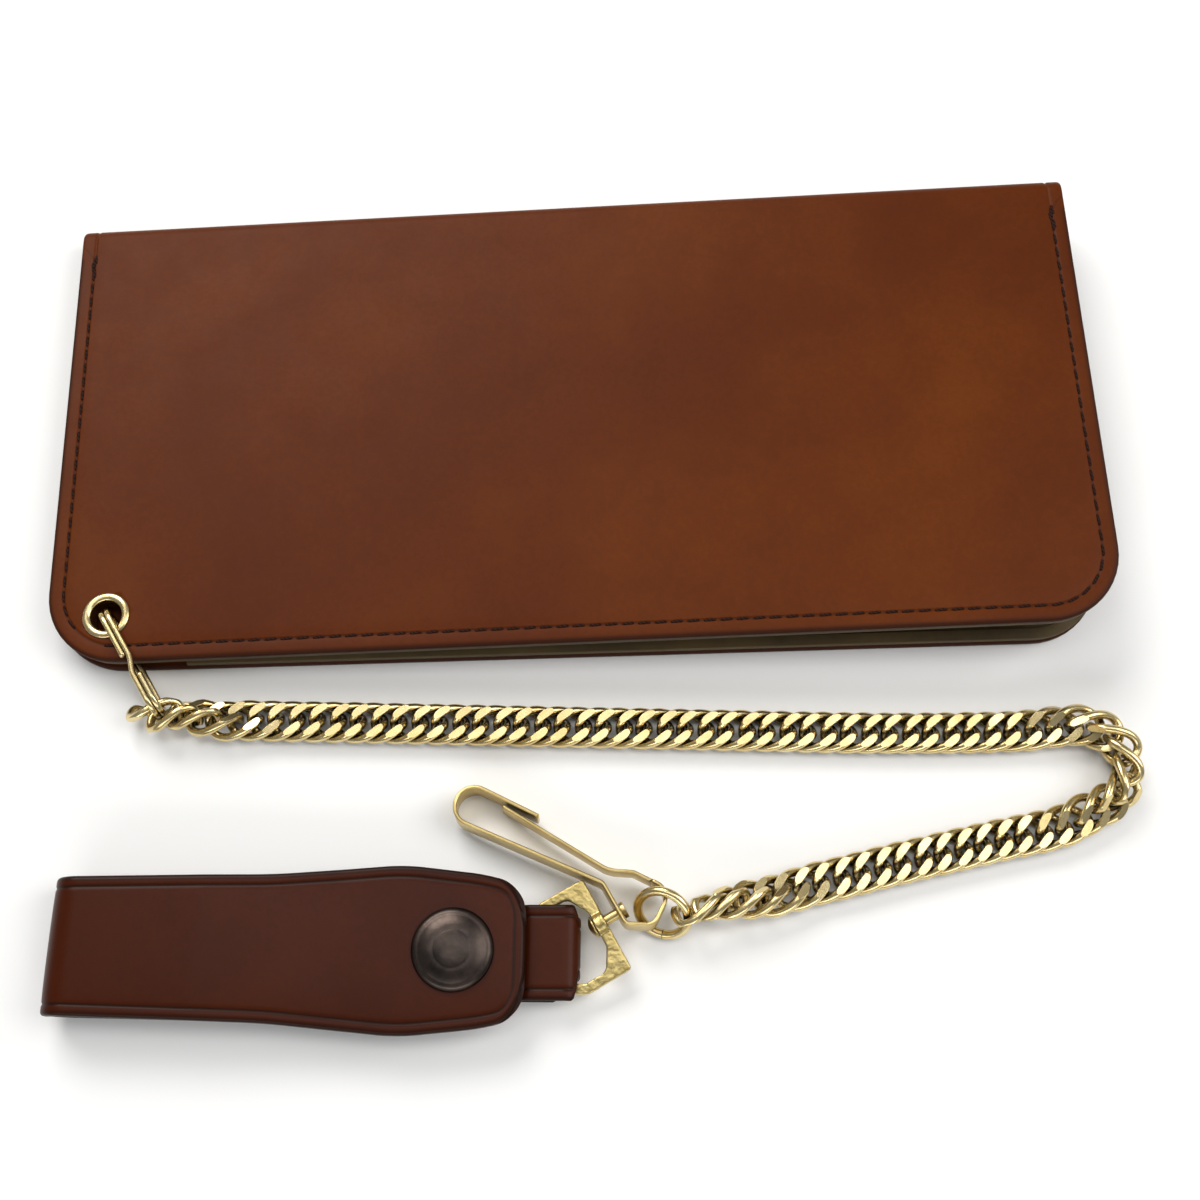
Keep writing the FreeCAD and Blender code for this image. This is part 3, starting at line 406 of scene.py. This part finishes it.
def cover_where(upper):
    """Maps (x, row, depth) of a cover: flat, then rolled into the spine, down to its middle."""
    flat_end = HEIGHT - ROLL

    def where(x, row, depth):
        rise = RISE + x * math.sin(SLOPE)
        if row <= flat_end:
            y, down = -HEIGHT / 2 + row, depth
        elif row <= HEIGHT:
            a = (row - flat_end) / ROLL * math.pi / 2
            y = HEIGHT / 2 - ROLL + (ROLL - depth) * math.sin(a)
            down = ROLL - (ROLL - depth) * math.cos(a)
        else:
            y = HEIGHT / 2 - depth
            down = ROLL + (row - HEIGHT) * (rise / 2 - ROLL)
        return front_point(x, y, -down) if upper else (x * math.cos(SLOPE), y, down)
    return where


def cover_rows():
    rows = [HEIGHT + 1.0, HEIGHT + 0.5]
    rows += [HEIGHT - ROLL * i / 8 for i in range(9)]
    rows += [HEIGHT - ROLL - step for step in (1.0, 2.5, 5, 9, 15, 22, 30, 40, 50, 60, 70)]
    rows += [CORNER]
    return rows


def punch(piece, centre, radius):
    """Cuts the eyelet's hole; its rim is hidden, so it keeps the plain face's finish."""
    cutter_mesh = bpy.data.meshes.new("punch")
    tool = bmesh.new()
    bmesh.ops.create_cone(tool, cap_ends=True, segments=48, radius1=radius * MM, radius2=radius * MM,
                          depth=12 * MM)
    tool.to_mesh(cutter_mesh)
    tool.free()
    cutter = bpy.data.objects.new("punch", cutter_mesh)
    bpy.context.collection.objects.link(cutter)
    cutter.location = [c * MM for c in front_point(*centre, 0)]
    cutter.rotation_euler = (0, -SLOPE, 0)
    cut = piece.modifiers.new("hole", "BOOLEAN")
    cut.operation = "DIFFERENCE"
    cut.solver = "EXACT"
    cut.object = cutter
    graph = bpy.context.evaluated_depsgraph_get()
    final = bpy.data.meshes.new_from_object(piece.evaluated_get(graph))
    piece.modifiers.clear()
    piece.data = final
    bpy.data.objects.remove(cutter)
    place = Vector(front_point(*centre, 0)) * MM
    for vertex, item in zip(final.vertices, final.attributes["edge_d"].data):
        if (vertex.co - place).length < (radius + 0.8) * MM:
            item.value = EDGE_REACH


def make_covers():
    """Both halves, each rolled round into the spine; the front one gets the eyelet's hole."""
    upper = cover_half("cover_leather_front", cover_where(True), ("cover_front",))
    lower = cover_half("cover_leather_back", cover_where(False), ("cover_back", "cover_spine"))
    punch(upper, EYELET, EYELET_HOLE)
    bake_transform(upper)
    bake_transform(lower)


make_covers()


# ---- inner panels, pockets ------------------------------------------------------------------------
SOFT_EDGE = 0.22


def soft_copy(node, body, slot, material):
    """A leather piece from its CAD solid: flat faces merged and edges rounded off."""
    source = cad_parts[node]
    mesh = source.data.copy()
    piece = bpy.data.objects.new(node + "_leather", mesh)
    bpy.context.collection.objects.link(piece)
    work = bmesh.new()
    work.from_mesh(mesh)
    bmesh.ops.remove_doubles(work, verts=work.verts, dist=0.00001)
    bmesh.ops.dissolve_limit(work, angle_limit=math.radians(1.0), verts=work.verts, edges=work.edges)
    work.to_mesh(mesh)
    work.free()
    mesh.materials.clear()
    mesh.materials.append(material)
    bevel = piece.modifiers.new("soft edge", "BEVEL")
    bevel.width = SOFT_EDGE * MM
    bevel.segments = 3
    bevel.angle_limit = math.radians(35)
    bevel.harden_normals = True
    for polygon in mesh.polygons:
        polygon.use_smooth = True
    dress(piece, body, slot, (node,))


for node, body, slot, material in (
        ("front_inner_panel", "wallet_front", "lining_leather", lining_edge),
        ("back_inner_panel", "wallet_back", "lining_leather", lining_edge),
        ("card_pocket_1", "wallet_front", "lining_leather", pocket_leather),
        ("card_pocket_2", "wallet_front", "lining_leather", pocket_leather),
        ("card_pocket_3", "wallet_front", "lining_leather", pocket_leather),
        ("receipt_pocket", "wallet_front", "lining_leather", pocket_leather),
        ("coin_pocket_front", "wallet_back", "lining_leather", pocket_leather),
        ("coin_pocket_gusset", "wallet_back", "gusset_leather", gusset_leather)):
    soft_copy(node, body, slot, material)


# ---- stitches -------------------------------------------------------------------------------------
def seam_places(pitch=3.0, top=40.0):
    """Centre and direction of each stitch along the left, open and right edges."""
    x, y = HALF_LENGTH - SEAM, HEIGHT / 2 - SEAM
    r = CORNER - SEAM
    side = top - (r - y)
    arc = r * math.pi / 2
    base = 2 * (x - r)
    total = 2 * side + 2 * arc + base
    count = int(total / pitch)
    places = []
    for i in range(count):
        s = (i + 0.5) * total / count
        if s < side:
            places.append((-x, top - s, -math.pi / 2))
        elif s < side + arc:
            a = math.pi + (s - side) / r
            places.append((r - x + r * math.cos(a), r - y + r * math.sin(a), a + math.pi / 2))
        elif s < side + arc + base:
            places.append((r - x + s - side - arc, -y, 0.0))
        elif s < side + 2 * arc + base:
            a = -math.pi / 2 + (s - side - arc - base) / r
            places.append((x - r + r * math.cos(a), r - y + r * math.sin(a), a + math.pi / 2))
        else:
            places.append((x, s - side - 2 * arc - base + r - y, math.pi / 2))
    return places


def stitch_mesh(places, where, face, verts, faces, length=2.7, wide=0.25, high=0.16, lean=0.10):
    """Adds one thread loop per place: a bent tube whose ends dive into the leather.

    where maps to the frame; face is +1 when the seam is seen from above, else -1."""
    along, around = 9, 8
    for x, y, angle in places:
        angle += lean + random.uniform(-0.03, 0.03)
        c, s = math.cos(angle), math.sin(angle)
        start = len(verts)
        for i in range(along):
            t = -1 + 2 * i / (along - 1)
            arch = high * (1 - t * t * t * t) - 0.28 * abs(t) ** 6
            girth = 0.55 + 0.45 * math.sqrt(max(0.0, 1 - t ** 6))
            for j in range(around):
                a = 2 * math.pi * j / around
                u = t * length / 2
                v = wide * girth * math.cos(a)
                w = arch + wide * girth * 0.8 * math.sin(a)
                verts.append(where(x + u * c - v * s, y + u * s + v * c, face * w))
        for i in range(along - 1):
            for j in range(around):
                a, b = start + i * around + j, start + i * around + (j + 1) % around
                faces.append((a, b, b + around, a + around))
        faces.append(tuple(start + j for j in range(around)))
        faces.append(tuple(start + (along - 1) * around + j for j in range(around)))


RELIEF = (-74.0, -33.0)          # corner of the back's inner panel that is cut away under the eyelet
POCKET_LEFT, POCKET_TOP = 15.3, 37.0
THREAD_DEPTH = 0.2


def clear_of_eyelet(place):
    return math.hypot(place[0] - EYELET[0], place[1] - EYELET[1]) > 6.0


def out_of_pocket(place):
    outside = not (place[0] > POCKET_LEFT and place[1] < POCKET_TOP)
    return outside and (place[0] > RELIEF[0] + 1.5 or place[1] > RELIEF[1] + 1.5)


def make_stitches():
    places = seam_places()
    tails = [(side * (HALF_LENGTH - SEAM) + shift, y, math.pi / 2)
             for side in (-1, 1) for shift, y in ((0.35, 39.2), (-0.3, 37.4), (0.3, 36.0))]
    verts, faces = [], []
    kept = [p for p in places if clear_of_eyelet(p)]
    stitch_mesh(kept + tails, lambda x, y, z: front_point(x, y, z - THREAD_DEPTH), 1, verts, faces)
    under = -COVER - LINING
    stitch_mesh(kept, lambda x, y, z: front_point(x, y, z + under + THREAD_DEPTH), -1, verts, faces)
    new_piece("seam_front", verts, faces, seam_thread, "wallet_front", "thread", ("stitching_front",))
    verts, faces = [], []
    stitch_mesh(places, lambda x, y, z: (x, y, z + THREAD_DEPTH), -1, verts, faces, high=0.05)
    kept = [p for p in places if out_of_pocket(p)]
    stitch_mesh(kept, lambda x, y, z: (x, y, z + COVER + LINING - THREAD_DEPTH), 1, verts, faces)
    new_piece("seam_back", verts, faces, seam_thread, "wallet_back", "thread", ("stitching_back",))
    verts, faces = [], []
    for x, low, count in ((5.0, 2.7, 10), (91.0, 2.7, 10), (-60.0, 0.9, 15), (-5.0, 0.9, 15)):
        level = under - low
        rows = [(x, -38.5 + i * 3.0, math.pi / 2) for i in range(count)]
        stitch_mesh(rows, lambda px, py, pz: front_point(px, py, pz + level), -1, verts, faces,
                    high=0.05)
    new_piece("seam_pockets", verts, faces, seam_thread, "wallet_front", "thread",
              ("stitching_pockets",))


make_stitches()


# ---- eyelet ---------------------------------------------------------------------------------------
def at_eyelet(x, y, z):
    return front_point(EYELET[0] + x, EYELET[1] + y, z)


def make_eyelet():
    rim = [(2.95 + 1.55 * (1 - math.cos(a)) / 2, 0.5 * math.sin(a)) for a in
           (math.pi * i / 14 for i in range(15))]
    inside = [(2.95, -3.3), (2.95, -0.5)]
    profile = inside + rim + [(4.45, -0.02), (3.45, -0.05), (3.45, -3.35), (2.95, -3.3)]
    lathe("eyelet_rolled", profile, at_eyelet, chain_brass, "wallet_front", "chain_brass", ("eyelet",))
    washer = [(3.5, -3.1), (4.4, -3.1), (4.5, -3.2), (4.4, -3.38), (3.7, -3.4), (3.5, -3.3), (3.5, -3.1)]
    lathe("eyelet_back_ring", washer, at_eyelet, chain_brass, "wallet_front", "chain_brass",
          ("eyelet_washer",))


make_eyelet()


# ---- belt loop ------------------------------------------------------------------------------------
STRAP = 2.2
LOOP_LEFT = -70.7
FLAP_END = 12.6
FOLD_END = 22.1
SKIVED = 1.1
LOW = 0.1 + STRAP / 2
MIDDLE = 1.3 + STRAP / 2
TOP = MIDDLE + STRAP + 2.3
HIGH = LOW + STRAP + 5.2
SPLIT = (LOW + HIGH) / 2


def rounded_run(points, radii, step=0.5):
    """Points every step along a run with rounded corners, each with its direction."""
    run = []
    here = Vector(points[0])
    for i in range(1, len(points)):
        corner = Vector(points[i])
        if i == len(points) - 1:
            pieces = [(here, corner, None)]
        else:
            before = (corner - Vector(points[i - 1])).normalized()
            after = (Vector(points[i + 1]) - corner).normalized()
            turn = before.angle_signed(after)
            reach = radii[i] * math.tan(abs(turn) / 2)
            start, end = corner - before * reach, corner + after * reach
            pieces = [(here, start, None), (start, end, (corner, turn, radii[i], before))]
        for a, b, bend in pieces:
            if bend is None:
                length = (b - a).length
                count = max(1, int(length / step))
                way = (b - a).normalized() if length > 1e-6 else Vector((1, 0))
                run += [(a + (b - a) * j / count, way) for j in range(count)]
            else:
                _, turn, radius, way = bend
                side = -1 if turn > 0 else 1
                left = Vector((-way.y, way.x)) * side
                centre = a + left * radius
                count = max(3, int(abs(turn) * radius / step), int(abs(turn) / 0.16))
                for j in range(count):
                    angle = side * abs(turn) * j / count
                    c, s = math.cos(angle), math.sin(angle)
                    arm = a - centre
                    point = centre + Vector((arm.x * c - arm.y * s, arm.x * s + arm.y * c))
                    run.append((point, Vector((way.x * c - way.y * s, way.x * s + way.y * c))))
            here = b
    run.append((here, run[-1][1]))
    return run


def width_from(table, x):
    """Half-width at x from a short table of (x, half-width), its corners rounded off."""
    total = 0.0
    for shift in (-3.0, -1.5, 0.0, 1.5, 3.0):
        at = x + shift
        rows = zip(table, table[1:])
        (x0, w0), (x1, w1) = next((r for r in rows if at <= r[1][0]), (table[-2], table[-1]))
        total += w0 + (w1 - w0) * (at - x0) / (x1 - x0)
    return total / 5


def belt_strip(name, run, thick, width_at, end_edge, body, replaced, puff=0.0):
    """A leather strip along a run in the strap's XZ plane, with rounded edges.

    width_at(x, z) gives the two sides; end_edge is True when the strip's last end is a finished
    edge; puff is how far the upper face stands up between its creases."""
    insets = [0.0, 0.06, 0.2, 0.45, 0.8, 1.2, 1.55, 1.75, 1.95, 2.15, 2.35, 2.8, 3.3, 4.5, 6.2, 8.0]
    total = 0.0
    stations = []
    for i, (point, way) in enumerate(run):
        if i:
            total += (point - run[i - 1][0]).length
        stations.append((total, point, way))
    verts, edge, faces = [], [], []
    columns = None
    for s, point, way in stations:
        low_side, high_side = width_at(point.x, point.y)
        to_end = total - s if end_edge else 99.0
        middle, half = (low_side + high_side) / 2, (high_side - low_side) / 2
        squeeze = min(1.0, (half - 3.4) / 4.8)
        fitted = [d if d <= 3.3 else 3.3 + (d - 3.3) * squeeze for d in insets]
        across = [low_side + d for d in fitted]
        across += [middle + (half - fitted[-1]) * t for t in (-0.5, 0, 0.5)]
        across += [high_side - d for d in reversed(fitted)]
        columns = len(across)
        normal = Vector((-way.y, way.x))
        for face in (1, -1):
            for y in across:
                d = min(y - low_side, high_side - y)
                near = min(d, to_end)
                if end_edge and d < 5 and to_end < 5:
                    near = min(near, max(0.0, 5 - math.hypot(5 - d, 5 - to_end)))
                round_off = 0.75 - math.sqrt(max(0.0, 0.5625 - (0.75 - min(near, 0.75)) ** 2))
                crease = 0.15 * math.exp(-((near - CREASE) / 0.25) ** 2) if face == 1 else 0.0
                crown = puff * (1 - math.exp(-max(near - 2.2, 0) / 2.5)) if face == 1 else 0.0
                depth = thick / 2 - round_off * thick / 2.2 - crease + crown
                at = point + normal * (face * depth)
                verts.append(strap_point(at.x, y, at.y))
                edge.append(near)
    ring = 2 * columns
    for k in range(len(stations) - 1):
        a = k * ring
        for i in range(columns - 1):
            faces.append((a + i, a + i + 1, a + ring + i + 1, a + ring + i))
            b = a + columns
            faces.append((b + i, b + ring + i, b + ring + i + 1, b + i + 1))
        for top, under in ((a, a + columns), (a + columns - 1, a + 2 * columns - 1)):
            faces.append((top, top + ring, under + ring, under))
    for k in (0, len(stations) - 1):
        for i in range(columns - 1):
            a = k * ring + i
            faces.append((a, a + 1, a + 1 + columns, a + columns))
    return new_piece(name, verts, faces, belt_leather, body, "belt_leather", replaced, edge)


def flap_sides(x, z):
    half = width_from([(-80, 11.5), (-32, 12.6), (-9, 14.6), (6, 13.0), (FLAP_END, 11.0)], x)
    into = x - (FLAP_END - 4.8)
    if into > 0:
        half -= 4.8 - math.sqrt(max(0.0, 4.8 ** 2 - into ** 2))
    return -half, half


def strap_sides(x, z):
    half = width_from([(-80, 11.5), (-20, 12.3), (-2, 8.2), (40, 8.2)], x)
    return -half, half


def ease(x):
    x = min(max(x, 0.0), 1.0)
    return x * x * (3 - 2 * x)


def fold_sides(x, z):
    """Full width above the D-ring; the lower layer narrows between the D's two sides."""
    taper = ease((x - 17.4) / 2.6) * ease((4.9 - z) / 0.9)
    return -8.2 + 3.5 * taper, 8.2 - 2.0 * taper


def make_belt_loop():
    left = LOOP_LEFT + STRAP / 2
    turn = (HIGH - LOW) / 2
    main = rounded_run([(left, SPLIT), (left, LOW), (-42, LOW), (-32, MIDDLE), (9, MIDDLE)],
                       [1, turn - 0.2, 8, 8, 1])
    belt_strip("belt_strap_leather", main, STRAP, strap_sides, False, "strap", ("belt_strap",))
    fold_start = MIDDLE + STRAP / 2 - SKIVED / 2 - 0.12      # just under the strap's upper face
    bight = FOLD_END - SKIVED / 2
    fold_low = 0.1 + SKIVED / 2
    bend = (5.6 - fold_low) / 2 - 0.25
    fold = rounded_run([(5, fold_start), (8.4, fold_start), (13.0, 4.5), (bight, 5.6),
                        (bight, fold_low), (-31, fold_low)], [1, 3, 3, bend, bend, 1])
    belt_strip("belt_fold_leather", fold, SKIVED, fold_sides, False, "strap", ())
    flap_run = rounded_run([(left, SPLIT), (left, HIGH), (-44, HIGH), (-20, TOP), (FLAP_END, TOP)],
                           [1, turn - 0.2, 18, 18, 1])
    flap = belt_strip("belt_flap_leather", flap_run, STRAP, flap_sides, True, None, ("belt_flap",),
                      0.12)
    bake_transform(flap)


make_belt_loop()


# ---- snap -----------------------------------------------------------------------------------------
def make_snap():
    top = TOP + STRAP / 2
    cap = [(0.0, 2.3), (1.6, 2.29), (2.9, 2.24), (3.15, 2.17), (3.35, 2.13), (3.6, 2.14), (4.4, 1.98),
           (5.2, 1.72), (5.75, 1.46), (5.95, 1.36), (6.15, 1.33), (6.5, 1.22), (6.85, 0.98),
           (7.1, 0.62), (7.2, 0.3), (7.15, 0.08), (7.0, 0.0), (6.6, -0.02), (0.0, -0.02)]
    lathe("snap_cap_domed", cap, lambda x, y, z: strap_point(x, y, z + top), snap_metal, "flap",
          "snap_metal", ("snap_cap",), 96)


make_snap()


# ---- cast D-ring ----------------------------------------------------------------------------------
def softened(node, name, body, slot, material, voxel, rounds):
    """A casting from its CAD solid: remeshed finely and smoothed, so its edges are round."""
    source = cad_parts[node]
    mesh = source.data.copy()
    piece = bpy.data.objects.new(name, mesh)
    bpy.context.collection.objects.link(piece)
    remesh = piece.modifiers.new("remesh", "REMESH")
    remesh.mode = "VOXEL"
    remesh.voxel_size = voxel * MM
    relax = piece.modifiers.new("relax", "SMOOTH")
    relax.iterations = rounds
    relax.factor = 0.5
    mesh.materials.clear()
    mesh.materials.append(material)
    graph = bpy.context.evaluated_depsgraph_get()
    final = bpy.data.meshes.new_from_object(piece.evaluated_get(graph))
    piece.modifiers.clear()
    piece.data = final
    for vertex in final.vertices:
        lump = noise.noise(vertex.co * 900) * 0.05 + noise.noise(vertex.co * 2600) * 0.03
        vertex.co += vertex.normal * lump * MM
    for polygon in final.polygons:
        polygon.use_smooth = True
    dress(piece, body, slot, (node,))


softened("d_ring", "d_ring_cast", "dee", "cast_brass", cast_brass, 0.16, 7)


# ---- split ring -------------------------------------------------------------------------------------
def rounder(value):
    """Turns a cosine or sine into that of a square with well rounded corners."""
    return math.copysign(abs(value) ** 0.65, value)


def tube(name, points, out, side, half_out, half_side, material, body, slot, replaced, around=20):
    """A closed-ended wire of squarish section through points; out and side are lists of vectors."""
    verts, faces = [], []
    for p, o, w in zip(points, out, side):
        for j in range(around):
            a = 2 * math.pi * j / around
            along, over = half_out * rounder(math.cos(a)), half_side * rounder(math.sin(a))
            verts.append(p + o * along + w * over)
    for i in range(len(points) - 1):
        for j in range(around):
            a, b = i * around + j, i * around + (j + 1) % around
            faces.append((a, b, b + around, a + around))
    faces.append(tuple(range(around)))
    faces.append(tuple((len(points) - 1) * around + j for j in range(around)))
    return new_piece(name, verts, faces, material, body, slot, replaced)


def make_split_ring():
    """Two turns of one wire, flattened into a long ring, each end stepping off the other turn."""
    left, right, radius = -0.8, 22.0, 2.9
    half_step = 0.53                        # each turn stands this far from the ring's middle
    half_out, half_side = 0.58, 0.515       # half the wire's thickness, outwards and across
    start, finish = 9.8, 14.4
    lift = 2.75
    way = Vector((10.8, -18.3, 0)).normalized()
    up = Vector((0, 0, 1))
    across = way.cross(up)
    slope = Matrix.Rotation(math.radians(1.6), 3, across)
    straight = right - left - 2 * radius
    turn_length = 2 * straight + 2 * math.pi * radius

    def loop_point(s):
        """Along the top to the left, round, along the bottom, round and back along the top."""
        s = s % turn_length
        first = start - left - radius
        if s < first:
            return start - s, 2 * radius, (0, 1)
        s -= first
        if s < math.pi * radius:
            a = math.pi / 2 + s / radius
            return left + radius + radius * math.cos(a), radius + radius * math.sin(a), \
                (math.cos(a), math.sin(a))
        s -= math.pi * radius
        if s < straight:
            return left + radius + s, 0.0, (0, -1)
        s -= straight
        if s < math.pi * radius:
            a = -math.pi / 2 + s / radius
            return right - radius + radius * math.cos(a), radius + radius * math.sin(a), \
                (math.cos(a), math.sin(a))
        s -= math.pi * radius
        return right - radius - s, 2 * radius, (0, 1)

    total = 2 * turn_length - (finish - start)
    count = 260
    points, out, side = [], [], []
    for i in range(count + 1):
        s = total * i / count
        x, y, (ox, oy) = loop_point(s)
        shift = half_step * (1 - 2 * ease((s - turn_length + finish - start) / (finish - start)))
        arm = slope @ (way * x + up * y)
        points.append(Vector((EYELET[0], EYELET[1], 0)) + arm + up * lift + across * shift)
        out.append(slope @ (way * ox + up * oy))
        side.append(across)
    tube("split_ring_wire", points, out, side, half_out, half_side, chain_brass, "key_ring",
         "chain_brass", ("split_ring",))


make_split_ring()


# ---- swivel clip ------------------------------------------------------------------------------------
CLIP_TURN = (Matrix.Rotation(math.radians(-28.2), 3, "Z") @ Matrix.Rotation(math.radians(-2.0), 3, "Y")
             @ Matrix.Rotation(math.radians(-4.0), 3, "X"))
clip_reach = CLIP_TURN @ Vector((42.3, -2.0, 0))
CLIP_ORIGIN = Vector((13.4 - clip_reach.x, -95.7 - clip_reach.y, 2.85))


def metal_strip(name, run, thick, wide, material, body, slot, replaced):
    """A bent strip with rounded edges; the run is drawn in the clip's plane."""
    radius = thick * 0.42
    section = []
    for cx, cy, begin in ((1, 1, 0), (-1, 1, 90), (-1, -1, 180), (1, -1, 270)):
        for k in range(5):
            a = math.radians(begin + 22.5 * k)
            section.append((cx * (thick / 2 - radius) + radius * math.cos(a),
                            cy * (wide / 2 - radius) + radius * math.sin(a)))
    verts, faces = [], []
    for point, way in run:
        normal = Vector((-way.y, way.x))
        for u, v in section:
            flat = point + normal * u
            verts.append(CLIP_ORIGIN + CLIP_TURN @ Vector((flat.x, flat.y, v)))
    n = len(section)
    for i in range(len(run) - 1):
        for j in range(n):
            a, b = i * n + j, i * n + (j + 1) % n
            faces.append((a, b, b + n, a + n))
    faces.append(tuple(range(n)))
    faces.append(tuple((len(run) - 1) * n + j for j in range(n)))
    return new_piece(name, verts, faces, material, body, slot, replaced)


def make_clip():
    frame_run = rounded_run([(14.8, 3.3), (0.1, 3.3), (0.1, -3.9), (30.6, -2.3), (37.4, -6.9),
                             (41.9, -5.0), (41.9, 1.9), (38.2, 1.9)],
                            [1, 3.5, 3.5, 1.6, 1.4, 2.0, 2.6, 1])
    metal_strip("clip_frame_strip", frame_run, 0.7, 5.0, clip_brass, "clip", "clip_brass",
                ("clip_frame",))
    gate_run = rounded_run([(38.2, 1.9), (34.6, 1.9), (30.5, 0.2), (8.2, 2.1)], [1, 2.0, 6.0, 1])
    metal_strip("clip_gate_strip", gate_run, 0.6, 4.4, clip_brass, "gate", "clip_brass", ("clip_gate",))


make_clip()


# ---- materials of the CAD pieces that stay ----------------------------------------------------------
KEPT = {"jump_ring": chain_brass, "swivel_rivet": clip_brass, "snap_socket": snap_metal,
        "snap_stud": snap_metal, "snap_post": snap_metal, "zipper_slider": chain_brass,
        "zipper_pull": chain_brass, "zipper_stops": chain_brass, "zipper_teeth_upper": chain_brass,
        "zipper_teeth_lower": chain_brass, "zipper_tape_upper": zip_tape, "zipper_tape_lower": zip_tape}
KEPT.update({"chain_%02d" % (k + 1): chain_brass for k in range(12)})
for node, material in KEPT.items():
    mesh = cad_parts[node].data
    mesh.materials.clear()
    mesh.materials.append(material)


# ---- floor, light, camera ---------------------------------------------------------------------------
def make_floor():
    size = 3.0
    mesh = bpy.data.meshes.new("floor")
    mesh.from_pydata([(-size, -size, 0), (size, -size, 0), (size, size, 0), (-size, size, 0)], [],
                     [(0, 1, 2, 3)])
    floor = bpy.data.objects.new("floor", mesh)
    bpy.context.collection.objects.link(floor)
    floor.location.z = -0.0001
    n = Nodes("floor_paint")
    n.value("Base Color", (0.90, 0.90, 0.89, 1))
    n.value("Roughness", 0.9)
    n.value("Specular IOR Level", 0.1)
    mesh.materials.append(n.material)


def area_light(name, place, target, size, power, colour=(1, 1, 1)):
    data = bpy.data.lights.new(name, "AREA")
    data.shape = "RECTANGLE"
    data.size, data.size_y = size
    data.energy = power
    data.color = colour
    lamp = bpy.data.objects.new(name, data)
    bpy.context.collection.objects.link(lamp)
    lamp.location = place
    lamp.rotation_mode = "QUATERNION"
    lamp.rotation_quaternion = (Vector(target) - Vector(place)).to_track_quat("-Z", "Y")


def make_light():
    world = bpy.data.worlds.new("studio")
    bpy.context.scene.world = world
    world.use_nodes = True
    world.node_tree.nodes["Background"].inputs["Color"].default_value = (0.95, 0.97, 1.0, 1)
    world.node_tree.nodes["Background"].inputs["Strength"].default_value = 0.26
    area_light("key", (-0.30, 0.55, 0.62), (0.0, 0, 0), (0.6, 0.4), 5.4, (1.0, 0.98, 0.95))
    area_light("fill", (0.60, 0.0, 0.60), (0.05, -0.05, 0), (0.5, 0.5), 3.0, (1.0, 0.98, 0.96))
    area_light("ceiling", (0.06, 0.055, 0.9), (0.06, 0.055, 0), (0.9, 0.24), 1.8)
    area_light("strip", (-0.1, -0.6, 0.30), (0, -0.08, 0), (0.8, 0.15), 1.3)


def make_camera():
    yaw = math.radians(-1.8)
    elevation = math.radians(71.0)
    distance = 0.280
    turn = Matrix.Rotation(yaw, 3, "Z")
    target = turn @ Vector((5.3, -35.2, 0)) * MM
    back = turn @ Vector((0, -math.cos(elevation), math.sin(elevation)))
    up = turn @ Vector((0, math.sin(elevation), math.cos(elevation)))
    side = up.cross(back)
    camera = bpy.data.objects.new("camera", bpy.data.cameras.new("camera"))
    bpy.context.collection.objects.link(camera)
    camera.data.lens = 36.0 * 1450 / 1200
    camera.data.sensor_width = 36.0
    camera.matrix_world = Matrix.Translation(target + back * distance) @ Matrix(
        (side, up, back)).transposed().to_4x4()
    bpy.context.scene.camera = camera


make_floor()
make_light()
make_camera()
bpy.context.scene.view_settings.view_transform = "Standard"
